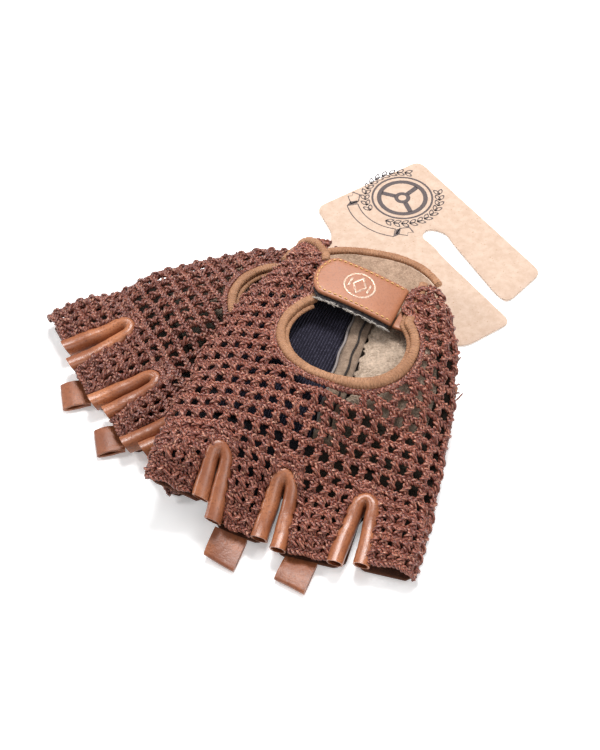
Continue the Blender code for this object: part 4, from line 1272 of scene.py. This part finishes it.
navy_knit = navy_finish()
patch_suede = rough_suede()
seam_leather = suede("seam_strip_leather", (0.36, 0.26, 0.19), (0.17, 0.115, 0.08), 1300.0, 0.0004)
pale_edge = Finish("pale_cut_edge", Roughness=0.8, Base_Color=(0.22, 0.19, 0.18, 1))
dark_line = Finish("inside_stitching", Roughness=0.9, Base_Color=(0.02, 0.014, 0.012, 1))
for side in GLOVES:
    outline = closed([(-33.0, 36.0), (0.5, 34.0), (0.5, 97.0), (-36.0, 97.0)], 1.2)
    lining = pad(side, f"{side}_navy_patch", outline, 2.4, 1.0, 2.2, 3)
    show(lining, f"{side}_glove", "navy_rib", (navy_knit, navy_knit), f"{side}_lining_patch")
    outline = closed([(1.2, 33.0), (8.4, 33.0), (8.4, 96.0), (1.2, 96.0)], 1.0)
    seam = pad(side, f"{side}_inside_seam", outline, 1.8, 1.6, 1.4, 5)
    show(seam, f"{side}_glove", "suede_beige", (seam_leather, seam_leather), f"{side}_seam_strip")
    for name, across, size, finish in (("edge", 1.3, 0.9, pale_edge), ("stitch", 6.1, 0.8, dark_line)):
        v = np.arange(34.0, 95.0, 1.5)
        level = PALM_THICK + 2.3 + 1.9 * np.sin(math.pi * np.clip((v - 33.0) / 63.0, 0, 1))
        if name == "edge":
            level = level - 0.7
        count = len(v)
        points = np.stack((across + 0.25 * np.sin(v * 0.5), v, level), axis=1)
        cord = roll(f"{side}_seam_{name}", side, points, np.full(count, size), np.full(count, size), 8)
        show(cord, f"{side}_glove", "suede_beige", finish)
    rng = np.random.default_rng(21)
    torn = [(9.0 + 0.9 * math.sin(v * 1.3) * math.sin(v * 0.37 + 2) + rng.normal(0, 0.35), v)
            for v in np.arange(97.0, 40.9, -0.8)]
    outline = torn + [(33.0, 43.0), (38.0, 62.0), (38.0, 97.0)]
    patch = pad(side, f"{side}_rough_patch", closed(outline[::-1], 0.8), 2.6, 1.3, 1.4, 8)
    show(patch, f"{side}_glove", "suede_beige", (patch_suede, patch_suede), f"{side}_suede_patch")


# ---- Pull loops ----------------------------------------------------------------------------------
# Leather strips doubled back on themselves and sewn into the ends of the ring and middle fingers.
LOOP_WIDTH = 11.5
LOOP_LENGTHS = {"right": 10.5, "left": 9.0}
LOOP_TURN = {"right": 0.0, "left": math.radians(17.0)}
LOOP_SKEW = {"right": 0.28, "left": 0.0}
LOOP_PUFF = {"right": 0.5, "left": 1.1}
LOOP_SHIFT = -2.2
LOOP_WALL = 0.85
LOOP_TUCK = 0.7
LOOP_EXTRA = 0.9
FOLD_REACH = 1.0
loop_leather = leather("pull_loop_leather", (0.36, 0.122, 0.048), (0.215, 0.066, 0.027),
                       0.42, 90.0, 1500.0, 0.1, 0.0004)
for side in GLOVES:
    for finger, label in ((1, "ring"), (2, "middle")):
        low, high = finger_sides(finger)
        centre = (low + high) / 2 + LOOP_SHIFT
        start = FINGER_END[finger] - LOOP_TUCK
        long = LOOP_LENGTHS[side] + LOOP_EXTRA
        t = np.linspace(0.0, 1.0, 15)
        lift = 1.05 + 0.25 * np.sin(math.pi * t)
        gap = 0.45 + LOOP_PUFF[side] * np.sin(math.pi * np.clip(t * 0.9, 0, 1)) ** 1.2 * t
        round_end = np.linspace(-math.pi / 2, math.pi / 2, 9)[1:-1]
        low_line = np.stack((t * (long - FOLD_REACH), lift - gap), axis=1)
        high_line = np.stack((t * (long - FOLD_REACH), lift + gap), axis=1)[::-1]
        fold_out = long - FOLD_REACH + np.cos(round_end) * FOLD_REACH
        fold = np.stack((fold_out, lift[-1] + gap[-1] * np.sin(round_end)), axis=1)
        centre_line = np.concatenate((low_line, fold, high_line))
        run = np.gradient(centre_line, axis=0)
        off = np.stack((-run[:, 1], run[:, 0]), axis=1) / np.linalg.norm(run, axis=1, keepdims=True)
        off = off * LOOP_WALL / 2
        loop = np.concatenate((centre_line + off, (centre_line - off)[::-1]))
        levels = np.linspace(-1.0, 1.0, 9)
        sag = 0.18 * (1 - levels ** 2)
        off_centre = levels[:, None] * LOOP_WIDTH / 2 - 0.09 * loop[None, :, 0]
        forward = loop[None, :, 0] + LOOP_SKEW[side] * off_centre * loop[None, :, 0] / long
        turn = LOOP_TURN[side]
        across = centre + off_centre * math.cos(turn) + forward * math.sin(turn)
        along = start - 0.25 * (side == "left") * LOOP_WIDTH / 2
        along = along + forward * math.cos(turn) - off_centre * math.sin(turn)
        up = np.maximum(loop[None, :, 1] + 0.25 + sag[:, None] * (loop[None, :, 0] / long), 0.1)
        points = place(side, across, along, up)
        count = len(loop)
        index, _, quads = ring_grid(len(levels), count)
        k = np.arange(count // 2 - 1)
        ends = []
        for row, flip in ((0, False), (-1, True)):
            ring = index[row]
            cap = np.stack((ring[k], ring[k + 1], ring[count - 2 - k], ring[count - 1 - k]), -1)
            ends.append(cap[:, ::-1] if flip else cap)
        faces = np.concatenate([quads] + ends)
        marks = np.concatenate((np.zeros(len(quads)), np.ones(2 * len(k))))
        made = build_mesh(f"{side}_pull_{label}", points.reshape(-1, 3), [faces], marks=marks, sharp=60)
        bm = bmesh.new()
        bm.from_mesh(made.data)
        bmesh.ops.recalc_face_normals(bm, faces=bm.faces)
        bm.to_mesh(made.data)
        bm.free()
        finish = (loop_leather, raw_edge)
        show(made, f"{side}_loop_{label}", "leather_tan", finish, f"{side}_pull_loop_{label}")


# ---- Hang card -----------------------------------------------------------------------------------
# Stiff kraft board with a hanging slot open at one side, printed in dark brown with a plain steering
# wheel in a wreath and an empty ribbon.
CARD_THICK = 0.6
corners = [(48.5, 117.0), (93.5, 53.0), (79.5, 37.0), (75.6, 40.5), (60.0, 69.0), (57.5, 75.0), (50.5, 77.5),
           (47.5, 73.0), (52.0, 68.0), (56.0, 61.0), (80.0, 26.5), (62.0, 14.0), (22.0, 22.0), (8.0, 58.0),
           (13.0, 74.0), (6.5, 89.5)]
card_outline = []
for i, spot in enumerate(corners):
    here = np.array(spot)
    before = np.array(corners[i - 1]) - here
    after = np.array(corners[(i + 1) % len(corners)]) - here
    start = here + before / np.linalg.norm(before) * min(4.0, 0.45 * np.linalg.norm(before))
    end = here + after / np.linalg.norm(after) * min(4.0, 0.45 * np.linalg.norm(after))
    for t in np.linspace(0.0, 1.0, 9):
        card_outline.append((1 - t) ** 2 * start + 2 * t * (1 - t) * here + t ** 2 * end)


def flat_place(x, y, up):
    return np.stack(np.broadcast_arrays(x, y, up), axis=-1)


card = sheet("kraft_card", closed(card_outline, 1.0), 6.0, lambda x, y: flat_place(x, y, 0.0),
             lambda x, y: flat_place(x, y, CARD_THICK), 0.2)
kraft = Finish("kraft_board", Roughness=0.85, Specular_IOR_Level=0.2)
mottle = kraft.noise(300.0, 4.0, 0.7)
flecks = kraft.noise(1300.0, 2.0, 0.5)
pulp = kraft.blend(mottle.over(0.3, 0.75), (0.52, 0.375, 0.285, 1), (0.61, 0.465, 0.37, 1))
kraft.feed("Base Color", kraft.blend(flecks.over(0.66, 0.74), pulp, (0.42, 0.26, 0.17, 1)))
show(card, "card", "kraft_card", (kraft, kraft), "hang_card")

MARK_MIDDLE = np.array((41.0, 95.0))
MARK_UP = np.array((0.7, 0.714))
MARK_RIGHT = np.array((0.714, -0.7))
ink_points, ink_faces = [], []


def ink(outer, inner, joined=True):
    """A printed line between two rows of points given right and up from the mark's middle."""
    base = sum(len(p) for p in ink_points)
    rows = []
    for flat, up in ((outer, -0.02), (outer, 0.05), (inner, 0.05), (inner, -0.02)):
        flat = np.asarray(flat, float)
        xy = MARK_MIDDLE + flat[:, :1] * MARK_RIGHT + flat[:, 1:] * MARK_UP
        rows.append(flat_place(xy[:, 0], xy[:, 1], CARD_THICK + up))
    count = len(rows[0])
    ink_points.append(np.concatenate(rows))
    ink_faces.append(base + band_quads(count, joined))


def arc(radius, start, end, count=48):
    angle = np.radians(np.linspace(start, end, count))
    return np.stack((np.cos(angle), np.sin(angle)), axis=1) * radius


ink(arc(12.4, 0, 360)[:-1], arc(11.6, 0, 360)[:-1])
ink(arc(10.2, 0, 360)[:-1], arc(8.4, 0, 360)[:-1])
ink(arc(3.2, 0, 360)[:-1], arc(1.6, 0, 360)[:-1])
for turn in (90.0, 205.0, 335.0):
    out = np.array((math.cos(math.radians(turn)), math.sin(math.radians(turn))))
    across = np.array((-out[1], out[0]))
    spoke = (out * 3.0, out * 8.6)
    ink([end + across for end in spoke], [end - across for end in spoke], False)
for mirror in (-1, 1):
    for k in range(11):
        turn = math.radians(-68.0 + 12.5 * k)
        for lean, radius in ((38.0, 15.6), (-30.0, 14.2)):
            centre = np.array((math.cos(turn) * mirror, math.sin(turn))) * radius
            tilt = turn + math.radians(90.0 - lean)
            long = np.array((math.cos(tilt) * mirror, math.sin(tilt)))
            wide = np.array((-long[1], long[0]))
            leaf = np.linspace(0, 2 * math.pi, 17)[:-1]
            swell = np.sin(leaf) * np.abs(np.sin(leaf)) ** 0.4
            shape = np.cos(leaf)[:, None] * long * 1.9 + swell[:, None] * wide * 0.95
            ink(centre + shape, centre + shape * 0.62)
ink(arc(18.4, 236, 304), arc(18.0, 236, 304), False)
ink(arc(22.8, 236, 304), arc(22.4, 236, 304), False)
for turn in (236, 304):
    sides = [arc(22.6, edge, edge, 2) * ((1,), (0.81,)) for edge in (turn - 0.5, turn + 0.5)]
    ink(*sides, False)
for mirror in (-1, 1):
    fold = np.array(((10.6, -15.0), (12.8, -18.6), (13.4, -16.2), (11.6, -13.6)))
    tail = np.array(((12.2, -17.2), (16.4, -14.6), (15.2, -13.2), (16.8, -11.4),
                     (13.4, -10.4), (11.0, -13.6)))
    for shape, inset in ((fold, 0.0), (tail, 0.84)):
        shape = shape * (mirror, 1)
        ink(shape, shape.mean(axis=0) + (shape - shape.mean(axis=0)) * inset)
card_ink = build_mesh("card_print", np.concatenate(ink_points), [np.concatenate(ink_faces)])
print_ink = Finish("brown_ink", Roughness=0.6)
print_ink.feed("Base Color", print_ink.blend(print_ink.noise(1500.0, 3.0, 0.7).over(0.3, 0.6),
                                             (0.045, 0.032, 0.034, 1), (0.085, 0.060, 0.058, 1)))
card_ink.data.polygons.foreach_set("use_smooth", np.zeros(len(card_ink.data.polygons), dtype=bool))
show(card_ink, "card", "kraft_card", print_ink)
